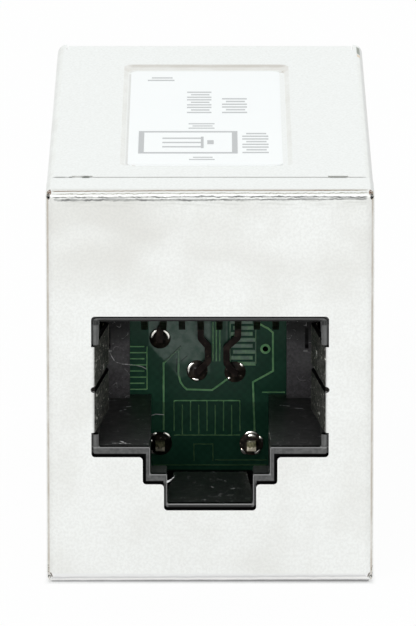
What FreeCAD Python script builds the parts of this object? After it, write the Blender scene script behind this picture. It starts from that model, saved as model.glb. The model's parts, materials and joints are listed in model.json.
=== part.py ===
import FreeCAD, Part
import math
import os

# Shielded straight-through network coupler: two eight-way sockets, back to back, in a folded
# sheet-metal shell. Each socket is a moulded housing with a stepped plug cavity, a grooved
# carrier with eight formed contact springs, and a circuit board that closes the cavity.
# Eight square pins join the two boards through a moulded spacer.
#
# Frame: X across, Y from the front socket to the rear one, Z up, origin under the middle of
# the underside. Shapes are drawn with the front face at depth 0 and are moved to the middle
# of the body at the end. All sizes are in millimetres.

Vector = FreeCAD.Vector

# Folded shell
body_width = 17.5
body_height = 21.4
body_length = 42.6
sheet = 0.25
fold_radius = 0.55
cap_depth = 3.78
seam_gap = 0.16
fit_gap = 0.05
corner_relief = 0.25
corner_radius = 0.35
corner_hole_radius = 0.09
corner_hole_from_side = 0.15
corner_hole_from_level = 0.33
rear_flange = 3.0
rear_slit_length = 1.6
rear_slit_width = 0.06

# Snap tongues that tie the front cap to the sleeve
tongue_width = 1.0
tongue_inset = 1.35
tongue_reach = 1.5
tongue_window = 0.34

# Butt seam along the underside, with dovetail keys
key_count = 2
key_width = 1.8
key_flare = 0.35
key_height = 1.2

# Pressed recess for the label
label_width = 8.38
label_length = 26.95
label_thickness = 0.06
label_corner = 0.4
label_side_gap = 0.22
label_end_gap = 0.97
label_shift_x = -0.06
label_shift_y = -0.57
recess_depth = 0.12
recess_draft = 0.25
recess_rear_draft = 1.2
recess_corner = 0.7
recess_shift_x = -0.2
recess_shift_y = 0.4

# Stepped socket opening, from the latch slot's floor upwards
port_base = 4.33
tab_width = 4.6
tab_height = 1.62
step_width = 6.42
step_height = 1.49
port_width = 11.9
plug_height = 6.88
rim_side = 0.39
rim_top = 0.29
rim_ledge = 0.52
rim_tab_side = 0.17
rim_tab_floor = 0.33
rim_gap = 0.11
rim_setback = 0.06
opening_corner = 0.2
mouth_chamfer = 0.12

# Socket housing
cavity_depth = 13.0
lip_depth = 2.2
tray_depth = 7.7
tray_taper = 0.33
well_floor = 2.4
end_wall = 0.9
window_width = 8.56
window_shift = -0.1
nose_depth = 6.2
housing_corner = 0.5
peg_radius = 0.6
peg_length = 1.4
peg_inset = 1.1
peg_low = 3.6
peg_high = 16.2
pin_pocket_height = 2.2
pin_pocket_depth = 1.5
solder_pocket_gap = 0.1
tail_pocket_gap = 0.03

# Grounding leaves cut from the face beside the opening
leaf_base = 0.81
leaf_span = 4.68
leaf_slit = 0.34
leaf_slit_stop = 0.08
leaf_standoff = 0.17
leaf_bend = 0.05
leaf_crest = 0.5
leaf_crest_depth = 6.0
leaf_length = 7.6
leaf_pocket = 0.4

# Contact springs and their carrier
contact_count = 8
contact_pitch = 1.016
wire_width = 0.35
wire_thickness = 0.3
wire_bend = 0.45
tip_depth = 9.4
tip_drop = 2.32
turn_rise = 0.13
turn_clearance = 0.33
riser_gap = 0.3
tail_reach = 0.5
roof_plate = 0.28
carrier_floor_wall = 0.7
groove_depth = 0.4
groove_width = 0.45
carrier_side = 1.84
carrier_ledge = 1.2

# Circuit boards and what joins them
board_thickness = 1.6
contact_hole_radius = 0.35
pin_size = 0.5
pin_hole_radius = 0.42
pin_reach = 1.0
pin_point = 0.2
low_pin_height = 4.68
low_pin_left = -2.73
low_pin_right = 2.27
high_pin_count = 6
test_hole_radius = 0.15
test_hole_x = 3.03
test_hole_drop = 4.33
tail_solder_radius = 0.59
tail_solder_top = 0.3
tail_solder_height = 0.28
pin_solder_radius = 0.66
pin_solder_top = 0.34
pin_solder_height = 0.42
spacer_wall = 1.0
spacer_web = 1.2

# Tails of the springs: how far each lies beside its spring, and how far below the socket's roof
odd_tail_drop = 0.92
last_tail_drop = 1.97
second_tail_shift = -0.2
second_tail_drop = 3.73
second_bend_start = 2.9
second_bend_end = 3.2
fourth_tail_shift = -0.2
fourth_tail_drop = 5.55
fourth_jog = 0.4
fourth_jog_start = 3.66
fourth_jog_end = 4.1
fourth_splay_start = 4.95
sixth_tail_shift = -0.15
sixth_tail_drop = 5.62
sixth_jog = -0.62
sixth_jog_start = 3.6
sixth_jog_end = 4.16
sixth_splay_start = 5.05

# Heights that follow from the sizes above
half_width = body_width / 2
tab_floor = port_base
step_floor = tab_floor + tab_height
plug_floor = step_floor + step_height
port_top = plug_floor + plug_height
leaf_bottom = plug_floor + leaf_base
leaf_top = leaf_bottom + leaf_span

# How far out from a leaf's inner side its bend starts in the face
leaf_fold = sheet + leaf_bend

# Room that the shell leaves inside
inner_half = half_width - sheet - fit_gap
inner_bottom = sheet + fit_gap
inner_top = body_height - sheet - recess_depth - fit_gap
nose_half = inner_half - sheet - fit_gap
nose_bottom = inner_bottom + sheet + fit_gap
nose_top = body_height - 2 * sheet - 2 * fit_gap
nose_front = sheet + fit_gap

# Levels of the contact carrier
carrier_floor = port_top + roof_plate + fit_gap
groove_floor = carrier_floor + carrier_floor_wall
carrier_top = groove_floor + groove_depth
carrier_half = contact_pitch * (contact_count - 1) / 2 + carrier_side
carrier_pocket_front = lip_depth + 2 * fit_gap
wire_top = groove_floor + wire_thickness / 2
wire_front = carrier_pocket_front + turn_clearance + wire_thickness / 2
riser_depth = cavity_depth - riser_gap
tail_end = cavity_depth + board_thickness + tail_reach
board_back = cavity_depth + board_thickness

# Board pins of the upper row, in the middle of the room above the contact carrier
high_pin_height = (carrier_top + inner_top) / 2
high_pin_pitch = 2 * inner_half / (high_pin_count + 1)

# The label's recess
recess_width = label_width + 2 * (label_side_gap + recess_draft)
recess_length = label_length + 2 * (label_end_gap + recess_draft)
recess_centre = (recess_shift_x, body_length / 2 + recess_shift_y)

# Each tail's place: sideways shift, drop below the roof
tail_places = {
    2: (second_tail_shift, second_tail_drop),
    4: (fourth_tail_shift, fourth_tail_drop),
    6: (sixth_tail_shift, sixth_tail_drop),
    contact_count: (0.0, last_tail_drop),
}

# Bends that the long tails make on their way down the board, as shift and drop
tail_bends = {
    2: [(0.0, second_bend_start), (second_tail_shift, second_bend_end)],
    4: [(0.0, fourth_jog_start), (fourth_jog, fourth_jog_end), (fourth_jog, fourth_splay_start)],
    6: [(0.0, sixth_jog_start), (sixth_jog, sixth_jog_end), (sixth_jog, sixth_splay_start)],
}


# Flat outlines

def unit(start, end):
    length = math.hypot(end[0] - start[0], end[1] - start[1])
    return (end[0] - start[0]) / length, (end[1] - start[1]) / length


def rounded_corner(before, corner, after, radius, offset):
    """Start, middle and end of the arc at a corner, for a line moved sideways by offset."""
    d1 = unit(before, corner)
    d2 = unit(corner, after)
    side = 1.0 if d1[0] * d2[1] - d1[1] * d2[0] > 0 else -1.0
    turn = math.acos(max(-1.0, min(1.0, d1[0] * d2[0] + d1[1] * d2[1])))
    tangent = radius * math.tan(turn / 2)
    centre = (
        corner[0] - d1[0] * tangent - d1[1] * side * radius,
        corner[1] - d1[1] * tangent + d1[0] * side * radius,
    )
    reach = radius - side * offset
    n1 = (d1[1] * side, -d1[0] * side)
    n2 = (d2[1] * side, -d2[0] * side)
    middle = unit((0, 0), (n1[0] + n2[0], n1[1] + n2[1]))
    return [(centre[0] + n[0] * reach, centre[1] + n[1] * reach) for n in (n1, middle, n2)]


def beside(start, end, offset):
    """The start point of a run, moved to its left by offset."""
    direction = unit(start, end)
    return start[0] - direction[1] * offset, start[1] + direction[0] * offset


def joined(pieces, place):
    """A wire through points and three-point arcs, placed in space."""
    edges = []
    last = None
    for piece in pieces:
        points = [place(*point) for point in piece]
        if last is not None and last.distanceToPoint(points[0]) > 1e-6:
            edges.append(Part.LineSegment(last, points[0]).toShape())
        if len(points) == 3:
            edges.append(Part.Arc(*points).toShape())
        last = points[-1]
    first = place(*pieces[0][0])
    if last.distanceToPoint(first) > 1e-6:
        edges.append(Part.LineSegment(last, first).toShape())
    return Part.Wire(edges)


def strip_outline(points, radii, thickness, place):
    """The closed edge of a bent strip whose middle line runs through the points."""
    sides = []
    for offset in (thickness / 2, -thickness / 2):
        side = [[beside(points[0], points[1], offset)]]
        for i, radius in enumerate(radii, start=1):
            side.append(rounded_corner(points[i - 1], points[i], points[i + 1], radius, offset))
        side.append([beside(points[-1], points[-2], -offset)])
        sides.append(side)
    back = [piece[::-1] for piece in reversed(sides[1])]
    return joined(sides[0] + back, place)


def rounded_outline(points, radius, place):
    """A closed outline with every corner rounded."""
    count = len(points)
    pieces = [
        rounded_corner(points[i - 1], points[i], points[(i + 1) % count], radius, 0.0)
        for i in range(count)
    ]
    return joined(pieces, place)


def in_xy(z):
    return lambda x, y: Vector(x, y, z)


def in_xz(y):
    return lambda x, z: Vector(x, y, z)


def in_yz(x):
    return lambda y, z: Vector(x, y, z)


# Solids

def block(x0, x1, y0, y1, z0, z1):
    return Part.makeBox(x1 - x0, y1 - y0, z1 - z0, Vector(x0, y0, z0))


def prism(wire, travel):
    return Part.Face(wire).extrude(travel)


def rounded_block(half, z0, z1, radius, y0, y1):
    corners = [(-half, z0), (half, z0), (half, z1), (-half, z1)]
    return prism(rounded_outline(corners, radius, in_xz(y0)), Vector(0, y1 - y0, 0))


def plan_block(centre, width, length, radius, z0, z1):
    """A flat plate with rounded corners in plan."""
    x, y = centre
    corners = [
        (x - width / 2, y - length / 2),
        (x + width / 2, y - length / 2),
        (x + width / 2, y + length / 2),
        (x - width / 2, y + length / 2),
    ]
    return prism(rounded_outline(corners, radius, in_xy(z0)), Vector(0, 0, z1 - z0))


def eased_front(solid, radius):
    """The solid with the edges round its front end rounded."""
    front = solid.BoundBox.YMin
    edges = [edge for edge in solid.Edges if edge.BoundBox.YMax < front + 1e-6]
    return solid.makeFillet(radius, edges)


def joined_solid(first, *others):
    return first.fuse(list(others)).removeSplitter()


def port_corners(side=0.0, top=0.0, ledge=0.0, tab_side=0.0, tab_low=0.0):
    """Corners of the stepped socket opening, grown by the given margins."""
    right = [
        (tab_width / 2 + tab_side, tab_floor - tab_low),
        (tab_width / 2 + tab_side, step_floor - ledge),
        (step_width / 2 + side, step_floor - ledge),
        (step_width / 2 + side, plug_floor - ledge),
        (port_width / 2 + side, plug_floor - ledge),
        (port_width / 2 + side, port_top + top),
    ]
    return right + [(-x, z) for x, z in reversed(right)]


def grown_port(shrink):
    """The opening in the metal face, less a clearance."""
    return port_corners(
        rim_side - shrink,
        rim_top - shrink,
        rim_ledge - shrink,
        rim_tab_side - shrink,
        rim_tab_floor - shrink,
    )


def to_rear(shape):
    """The same shape at the rear socket: a half turn about the upright centre line."""
    turned = shape.copy()
    turned.rotate(Vector(0, body_length / 2, 0), Vector(0, 0, 1), 180)
    return turned


# Sheet metal

def face_opening():
    """What is cut from a face for the socket, the leaves' fold lines included."""
    wire = rounded_outline(grown_port(0.0), opening_corner, in_xz(-sheet))
    opening = prism(wire, Vector(0, 3 * sheet, 0))
    fold_line = port_width / 2 + leaf_standoff + leaf_fold
    zones = block(-fold_line, fold_line, -sheet, 2 * sheet, leaf_bottom, leaf_top)
    return joined_solid(opening, zones)


def leaf_strip():
    """Both right-hand leaves in one, before the slit: folded in, bowed, and curled at the tip."""
    root = port_width / 2 + leaf_standoff + sheet / 2
    crest = port_width / 2 - leaf_crest + sheet / 2
    points = [
        (root + leaf_fold + sheet, sheet / 2),
        (root, sheet / 2),
        (crest, leaf_crest_depth),
        (root, leaf_length),
    ]
    radii = [leaf_fold - sheet / 2, leaf_crest]
    wire = strip_outline(points, radii, sheet, in_xy(leaf_bottom))
    return prism(wire, Vector(0, 0, leaf_span))


def leaf_gap():
    """The slit between the two right-hand leaves, with a round end in their bend."""
    middle = (leaf_bottom + leaf_top) / 2
    half = leaf_slit / 2
    root = port_width / 2 + leaf_standoff + leaf_fold - leaf_slit_stop - half
    inside = port_width / 2 - 2 * leaf_crest
    slit = block(inside, root, -sheet, leaf_length + sheet, middle - half, middle + half)
    end = Part.makeCylinder(half, 2 * sheet, Vector(root, -sheet, middle), Vector(0, 1, 0))
    return joined_solid(slit, end)


def mirrored(shape):
    return shape.mirror(Vector(0, 0, 0), Vector(1, 0, 0))


def with_leaves(face):
    """A face with its socket opening cut and its grounding leaves folded in."""
    leaf = leaf_strip()
    gap = leaf_gap()
    cut = face.cut(face_opening())
    full = joined_solid(cut, leaf, mirrored(leaf))
    return full.cut([gap, mirrored(gap)])


def channel_round(points, low, high, across):
    """Folded sheet through the points: upright flanges if across, else top and bottom ones."""
    radii = [fold_radius - sheet / 2] * (len(points) - 2)
    if across:
        return prism(strip_outline(points, radii, sheet, in_xy(low)), Vector(0, 0, high - low))
    return prism(strip_outline(points, radii, sheet, in_yz(low)), Vector(high - low, 0, 0))


def round_nosed(half, depth, low, high, across, centre):
    """Everything inside a folded face's rounded outer edges, for trimming its corners."""
    far = depth + sheet
    corners = [
        (centre - half, far),
        (centre - half, 0),
        (centre + half, 0),
        (centre + half, far),
    ]
    pieces = [
        [corners[0]],
        rounded_corner(corners[0], corners[1], corners[2], fold_radius, 0.0),
        rounded_corner(corners[1], corners[2], corners[3], fold_radius, 0.0),
        [corners[3]],
    ]
    if across:
        return prism(joined(pieces, in_xy(low)), Vector(0, 0, high - low))
    wire = joined(pieces, lambda v, y: Vector(low, y, v))
    return prism(wire, Vector(high - low, 0, 0))


def folded_face(half, bottom, top, depth):
    """A face with flanges on all four sides and a small open notch at each corner."""
    low = bottom + corner_relief
    high = top - corner_relief
    side = half - sheet / 2
    upright = channel_round(
        [(-side, depth), (-side, sheet / 2), (side, sheet / 2), (side, depth)], low, high, True
    )
    level = channel_round(
        [
            (depth, bottom + sheet / 2),
            (sheet / 2, bottom + sheet / 2),
            (sheet / 2, top - sheet / 2),
            (depth, top - sheet / 2),
        ],
        corner_relief - half,
        half - corner_relief,
        False,
    )
    middle = (bottom + top) / 2
    span = (top - bottom) / 2
    upright = upright.common(round_nosed(span, depth, -half, half, False, middle))
    level = level.common(round_nosed(half, depth, bottom, top, True, 0.0))
    return joined_solid(upright, level)


def corner_holes(half, bottom, top):
    """Small relief holes where the bends of a face would meet at its corners."""
    x = half - corner_hole_from_side
    places = [(-x, bottom), (x, bottom), (-x, top), (x, top)]
    inward = {bottom: corner_hole_from_level, top: -corner_hole_from_level}
    return [
        Part.makeCylinder(
            corner_hole_radius, 2 * fold_radius, Vector(x, -sheet, z + inward[z]), Vector(0, 1, 0)
        )
        for x, z in places
    ]


def tongue(side, top):
    """A tongue on the cap's flange that steps down and slips under the sleeve's edge."""
    outer = body_height - sheet / 2 if top else sheet / 2
    inward = -1.0 if top else 1.0
    inner = outer + inward * (sheet + fit_gap)
    points = [
        (cap_depth - sheet, outer),
        (cap_depth, outer),
        (cap_depth + tongue_window - fit_gap, inner),
        (cap_depth + tongue_reach, inner),
    ]
    x0 = side * (half_width - fold_radius - tongue_inset) - tongue_width / 2
    radii = [sheet / 2 + fit_gap / 2] * 2
    wire = strip_outline(points, radii, sheet, in_yz(x0))
    return prism(wire, Vector(tongue_width, 0, 0))


def tongue_windows():
    """Notches in the sleeve's front edge, one over each tongue."""
    front = cap_depth + seam_gap
    notches = []
    for side in (-1, 1):
        middle = side * (half_width - fold_radius - tongue_inset)
        half = tongue_width / 2 + fit_gap
        for low in (-sheet, body_height - sheet - fit_gap):
            high = low + 2 * sheet + fit_gap
            end = front + tongue_window
            notches.append(block(middle - half, middle + half, front - sheet, end, low, high))
    return notches


def front_cap():
    cap = folded_face(half_width, 0.0, body_height, cap_depth)
    cap = cap.cut(corner_holes(half_width, 0.0, body_height))
    ears = []
    for side in (-1, 1):
        x0 = min(side * half_width, side * (half_width - 2 * corner_relief))
        x1 = x0 + 2 * corner_relief
        for z0 in (0.0, body_height - sheet):
            ears.append(block(x0, x1, fold_radius, cap_depth, z0, z0 + sheet))
    limits = rounded_block(half_width, 0.0, body_height, corner_radius, -sheet, cap_depth)
    cap = joined_solid(cap, *ears).common(limits)
    tongues = [tongue(side, top) for side in (-1, 1) for top in (False, True)]
    return with_leaves(joined_solid(cap, *tongues))


def seam_cut():
    """A thin dovetailed saw line along the underside, where the sheet's edges meet."""
    front = cap_depth
    back = body_length + sheet
    step = (back - front) / (key_count + 1)
    points = [(0.0, front)]
    for key in range(key_count):
        y = front + step * (key + 1)
        near = key_width / 2
        far = near + key_flare
        points += [(0.0, y - near), (key_height, y - far), (key_height, y + far), (0.0, y + near)]
    points.append((0.0, back))
    wire = strip_outline(points, [seam_gap] * (len(points) - 2), seam_gap, in_xy(-sheet))
    return prism(wire, Vector(0, 0, 3 * sheet))


def recess_frustum(grow, top, depth):
    """The pressed recess as a solid: rounded in plan, drawn in as it goes down, most at the rear."""
    x, y = recess_centre
    wires = []
    for level, draft, rear_draft in ((0.0, 0.0, 0.0), (depth, recess_draft, recess_rear_draft)):
        half = recess_width / 2 + grow - draft
        front = y - recess_length / 2 - grow + draft
        rear = y + recess_length / 2 + grow - rear_draft
        corners = [(x - half, front), (x + half, front), (x + half, rear), (x - half, rear)]
        wires.append(rounded_outline(corners, recess_corner + grow - draft, in_xy(top - level)))
    return Part.makeLoft(wires, True, True)


def rear_face():
    """The end of the top panel folded down, with three flanges tucked inside the sleeve."""
    half = inner_half
    bottom = inner_bottom
    side = half - sheet / 2
    top_limit = body_height - sheet - fold_radius
    upright = channel_round(
        [(-side, rear_flange), (-side, sheet / 2), (side, sheet / 2), (side, rear_flange)],
        bottom + corner_relief,
        top_limit,
        True,
    )
    bend_half = half_width - fold_radius - rear_slit_width
    level = channel_round(
        [
            (rear_flange, bottom + sheet / 2),
            (sheet / 2, bottom + sheet / 2),
            (sheet / 2, body_height - sheet / 2),
            (rear_flange, body_height - sheet / 2),
        ],
        -bend_half,
        bend_half,
        False,
    )
    span = (body_height - bottom) / 2
    upright = upright.common(round_nosed(span, rear_flange, -half, half, False, bottom + span))
    level = level.common(round_nosed(half, rear_flange, bottom, body_height, True, 0.0))
    return to_rear(with_leaves(joined_solid(upright, level)))


def shell_body():
    front = cap_depth + seam_gap
    outer = rounded_block(half_width, 0.0, body_height, fold_radius, front, body_length)
    bore = rounded_block(
        half_width - sheet,
        sheet,
        body_height - sheet,
        fold_radius - sheet,
        front - sheet,
        body_length + sheet,
    )
    sleeve = outer.cut(bore)

    # the top panel stops where its fold starts, between two relief slits
    flat = half_width - fold_radius
    fold_start = body_length - fold_radius
    above = body_height - 2 * sheet
    sleeve = sleeve.cut(block(-flat, flat, fold_start, body_length + sheet, above, body_height + sheet))
    slit_start = body_length - rear_slit_length
    for x0 in (-flat, flat - rear_slit_width):
        x1 = x0 + rear_slit_width
        slit = block(x0, x1, slit_start, body_length + sheet, above, body_height + sheet)
        sleeve = sleeve.cut(slit)
    sleeve = joined_solid(sleeve, rear_face())

    # label recess, pressed down with the sheet's thickness kept
    press = recess_frustum(sheet / 2, body_height - sheet, recess_depth)
    hollow = recess_frustum(0.0, body_height, recess_depth)
    sleeve = joined_solid(sleeve, press).cut(hollow)

    return sleeve.cut(tongue_windows() + [seam_cut()])


def label():
    centre = (recess_centre[0] + label_shift_x, recess_centre[1] + label_shift_y)
    z0 = body_height - recess_depth
    return plan_block(centre, label_width, label_length, label_corner, z0, z0 + label_thickness)


# Mouldings

def lead_in():
    """The chamfer round the socket's mouth, as the solid that it takes away."""
    wires = []
    for depth, grow in ((rim_setback, mouth_chamfer), (rim_setback + mouth_chamfer, 0.0)):
        corners = port_corners(grow, grow, grow, grow, grow)
        wires.append(rounded_outline(corners, opening_corner / 2, in_xz(depth)))
    return Part.makeLoft(wires, True, True)


def cavity():
    """Everything that is hollow in a housing, as one list of tools."""
    front = -sheet
    half = port_width / 2
    past = cavity_depth + sheet
    window = window_width / 2
    mouth = rounded_outline(port_corners(), opening_corner / 2, in_xz(front))
    tools = [prism(mouth, Vector(0, lip_depth - front, 0)), lead_in()]
    plug_end = cavity_depth - end_wall
    tools.append(block(-half, half, lip_depth / 2, plug_end, plug_floor, port_top))
    left, right = window_shift - window, window_shift + window
    tools.append(block(left, right, plug_end - sheet, past, plug_floor, port_top))
    latch = step_width / 2
    tools.append(block(-latch, latch, lip_depth, past, well_floor, plug_floor))

    # ways through the end wall for the springs' tails and their solder, beside a narrow window
    slot = wire_width / 2 + fit_gap
    for number in range(1, contact_count + 1):
        x, z = tail_place(number)
        low = z - wire_thickness / 2 - fit_gap
        tools.append(block(x - slot, x + slot, plug_end - sheet, past, low, port_top))
        start = Vector(x, cavity_depth - tail_solder_height - solder_pocket_gap, z)
        radius = tail_solder_radius + tail_pocket_gap
        tools.append(Part.makeCylinder(radius, 2 * tail_solder_height, start, Vector(0, 1, 0)))

    # side pockets that the grounding leaves spring into
    wall = half + leaf_standoff + sheet + leaf_pocket
    low = leaf_bottom - 2 * fit_gap
    high = leaf_top + 2 * fit_gap
    tools.append(block(-wall, wall, front, leaf_length + leaf_pocket, low, high))

    # slot for the contact carrier, and the gap in the roof that the springs hang through
    span = carrier_half - carrier_ledge
    roof = carrier_top + fit_gap
    tools.append(
        block(
            -carrier_half - fit_gap,
            carrier_half + fit_gap,
            carrier_pocket_front,
            past,
            carrier_floor - fit_gap,
            roof,
        )
    )
    tools.append(block(-span, span, carrier_pocket_front, past, port_top - sheet, carrier_floor))

    # room for the upper row of board pins, and for the solder of the lower ones
    radius = pin_solder_radius + solder_pocket_gap
    reach = high_pin_pitch * (high_pin_count - 1) / 2 + radius
    low = high_pin_height - pin_pocket_height / 2
    tools.append(
        block(-reach, reach, cavity_depth - pin_pocket_depth, past, low, low + pin_pocket_height)
    )
    for x in (low_pin_left, low_pin_right, -low_pin_left, -low_pin_right):
        start = Vector(x, cavity_depth - pin_solder_height - solder_pocket_gap, low_pin_height)
        tools.append(Part.makeCylinder(radius, 2 * pin_solder_height, start, Vector(0, 1, 0)))
    return tools


def latch_tray():
    """The tapered floor under the plug's latch, standing in the open well."""
    near = tab_width / 2
    far = near - tray_taper
    corners = [(-near, lip_depth), (near, lip_depth), (far, tray_depth), (-far, tray_depth)]
    wire = Part.makePolygon([Vector(x, y, well_floor) for x, y in corners + corners[:1]])
    return prism(wire, Vector(0, 0, tab_floor - well_floor))


def peg_places():
    x = inner_half - peg_inset
    return [(-x, peg_low), (x, peg_high)]


def housing():
    main = rounded_block(inner_half, inner_bottom, inner_top, housing_corner, nose_depth, cavity_depth)
    nose = rounded_block(nose_half, nose_bottom, nose_top, housing_corner, nose_front, nose_depth)
    nose = eased_front(nose, fold_radius - sheet - fit_gap)
    rim = prism(
        rounded_outline(grown_port(rim_gap), opening_corner, in_xz(rim_setback)),
        Vector(0, nose_front - rim_setback, 0),
    )
    body = joined_solid(main, nose, rim).cut(cavity())
    pegs = [
        Part.makeCylinder(peg_radius, peg_length, Vector(x, cavity_depth, z), Vector(0, 1, 0))
        for x, z in peg_places()
    ]
    return joined_solid(body, latch_tray(), *pegs)


def contact_x(number):
    return (number - (contact_count + 1) / 2) * contact_pitch


def carrier():
    """A grooved block: a spring lies in each groove and turns down through its front notch."""
    back = riser_depth - wire_bend
    front = carrier_pocket_front + fit_gap
    body = block(-carrier_half, carrier_half, front, back, carrier_floor, carrier_top)
    nose = wire_front + wire_bend
    tools = []
    for number in range(1, contact_count + 1):
        x0 = contact_x(number) - groove_width / 2
        x1 = x0 + groove_width
        tools.append(block(x0, x1, front - sheet, back + sheet, groove_floor, carrier_top + sheet))
        tools.append(block(x0, x1, front - sheet, nose, carrier_floor - sheet, carrier_top))
    return body.cut(tools)


def spacer():
    """A frame between the boards, with a web that steadies the pins."""
    back = body_length - board_back
    outer = rounded_block(inner_half, inner_bottom, inner_top, housing_corner, board_back, back)
    middle = body_length / 2
    tools = []
    for y0, y1 in ((board_back - sheet, middle - spacer_web / 2), (middle + spacer_web / 2, back + sheet)):
        tools.append(
            rounded_block(
                inner_half - spacer_wall,
                inner_bottom + spacer_wall,
                inner_top - spacer_wall,
                housing_corner,
                y0,
                y1,
            )
        )
    half = pin_size / 2 + fit_gap
    for x, z in pin_places():
        tools.append(block(x - half, x + half, board_back, back, z - half, z + half))
    return outer.cut(tools)


# Contacts, boards, pins and solder

def tail_place(number):
    shift, drop = tail_places.get(number, (0.0, odd_tail_drop))
    return contact_x(number) + shift, port_top - drop


def spring_line():
    """The side view of a spring from its free tip, round the carrier's nose, to the board."""
    return [
        (tip_depth, port_top - tip_drop),
        (wire_front, port_top + turn_rise),
        (wire_front, wire_top),
        (riser_depth, wire_top),
    ]


def contact(number):
    x0 = contact_x(number) - wire_width / 2
    x, z = tail_place(number)
    bends = [wire_bend, wire_bend, wire_bend]
    if number not in tail_bends:
        points = spring_line() + [(riser_depth, z), (tail_end, z)]
        wire = strip_outline(points, bends + [wire_thickness], wire_thickness, in_yz(x0))
        return prism(wire, Vector(wire_width, 0, 0))

    # a long tail also bends sideways on its way down the board
    join = wire_top - 2 * wire_bend
    wire = strip_outline(spring_line() + [(riser_depth, join)], bends, wire_thickness, in_yz(x0))
    spring = prism(wire, Vector(wire_width, 0, 0))
    middle = contact_x(number)
    route = [(middle, join)]
    route += [(middle + shift, port_top - drop) for shift, drop in tail_bends[number]]
    route.append((x, z))
    radii = [wire_width / 2 + fit_gap / 2] * (len(route) - 2)
    start = riser_depth - wire_thickness / 2
    wire = strip_outline(route, radii, wire_width, in_xz(start))
    riser = prism(wire, Vector(0, wire_thickness, 0))
    half = wire_width / 2
    tail = block(x - half, x + half, start, tail_end, z - half, z + half)
    return joined_solid(spring, riser, tail)


def pin_places():
    """Where the eight board pins stand: two low ones, the rest in a row near the top."""
    first = -high_pin_pitch * (high_pin_count - 1) / 2
    low = [(low_pin_left, low_pin_height), (low_pin_right, low_pin_height)]
    return low + [(first + high_pin_pitch * i, high_pin_height) for i in range(high_pin_count)]


def link_pin(place):
    """A square pin through both boards, pointed at both ends."""
    x, z = place
    half = pin_size / 2
    y0 = cavity_depth - pin_reach
    y1 = body_length - y0
    pin = block(x - half, x + half, y0, y1, z - half, z + half)
    ends = [edge for edge in pin.Edges if edge.BoundBox.YLength < fit_gap]
    return pin.makeChamfer(pin_point, ends)


def hole(x, z, radius):
    start = Vector(x, cavity_depth - sheet, z)
    return Part.makeCylinder(radius, board_thickness + 2 * sheet, start, Vector(0, 1, 0))


def board(side):
    """A board at the front socket; side is -1 for the one that is then turned to the rear."""
    body = rounded_block(
        inner_half, inner_bottom, inner_top, housing_corner, cavity_depth, board_back
    )
    holes = []
    for number in range(1, contact_count + 1):
        holes.append(hole(*tail_place(number), contact_hole_radius))
    for x, z in pin_places():
        holes.append(hole(side * x, z, pin_hole_radius))
    for x, z in peg_places():
        holes.append(hole(x, z, peg_radius + fit_gap))
    holes.append(hole(test_hole_x, port_top - test_hole_drop, test_hole_radius))
    return body.cut(holes)


def solder_cone(x, z, radius, top, height, core):
    """Solder that stands on the board's face round a tail or a pin."""
    start = Vector(x, cavity_depth, z)
    return Part.makeCone(radius, top, height, start, Vector(0, -1, 0)).cut(core)


def solder(side):
    cones = []
    for number in range(1, contact_count + 1):
        x, z = tail_place(number)
        sizes = (tail_solder_radius, tail_solder_top, tail_solder_height)
        cones.append(solder_cone(x, z, *sizes, contact(number)))
    for x, z in pin_places():
        sizes = (pin_solder_radius, pin_solder_top, pin_solder_height)
        cones.append(solder_cone(side * x, z, *sizes, link_pin((side * x, z))))
    return Part.makeCompound([solid for cone in cones for solid in cone.Solids])


# Assembly

def nodes():
    parts = {
        "front_cap": front_cap(),
        "shell_body": shell_body(),
        "label": label(),
        "front_housing": housing(),
        "rear_housing": to_rear(housing()),
        "front_contact_carrier": carrier(),
        "rear_contact_carrier": to_rear(carrier()),
        "front_board": board(1),
        "rear_board": to_rear(board(-1)),
        "front_solder": solder(1),
        "rear_solder": to_rear(solder(-1)),
        "board_spacer": spacer(),
    }
    for number in range(1, contact_count + 1):
        parts[f"front_contact_{number}"] = contact(number)
        parts[f"rear_contact_{number}"] = to_rear(contact(number))
    for number, place in enumerate(pin_places(), start=1):
        parts[f"link_pin_{number}"] = link_pin(place)
    return parts


def main():
    os.makedirs("parts", exist_ok=True)
    for name, shape in nodes().items():
        placed = shape.copy()
        placed.translate(Vector(0, -body_length / 2, 0))
        placed.exportStep(f"parts/{name}.step")
        print(name, "solids", len(placed.Solids), "volume", round(placed.Volume, 3), placed.isValid())


main()
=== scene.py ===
import json
import math
from types import SimpleNamespace

import bmesh
import bpy
from mathutils import Matrix, Vector


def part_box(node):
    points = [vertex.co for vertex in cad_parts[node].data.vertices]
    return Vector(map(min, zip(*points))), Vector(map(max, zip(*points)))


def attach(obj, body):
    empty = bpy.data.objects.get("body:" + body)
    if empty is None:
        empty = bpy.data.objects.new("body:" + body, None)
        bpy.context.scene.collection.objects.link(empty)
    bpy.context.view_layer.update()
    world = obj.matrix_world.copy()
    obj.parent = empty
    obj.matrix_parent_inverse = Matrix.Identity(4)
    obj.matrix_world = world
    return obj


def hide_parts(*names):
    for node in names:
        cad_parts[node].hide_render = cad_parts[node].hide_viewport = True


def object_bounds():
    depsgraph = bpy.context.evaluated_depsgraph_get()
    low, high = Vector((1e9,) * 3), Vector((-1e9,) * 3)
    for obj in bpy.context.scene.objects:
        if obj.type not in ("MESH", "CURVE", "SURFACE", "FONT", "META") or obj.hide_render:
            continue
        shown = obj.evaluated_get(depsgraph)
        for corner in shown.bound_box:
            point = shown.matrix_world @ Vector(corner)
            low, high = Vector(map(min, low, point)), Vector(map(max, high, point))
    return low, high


# Shielded network coupler on a white studio floor, seen from the front and a little above.
# Lengths below are in millimetres, in the frame of the solids: X across, Y to the rear, Z up.
MM = 0.001

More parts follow.
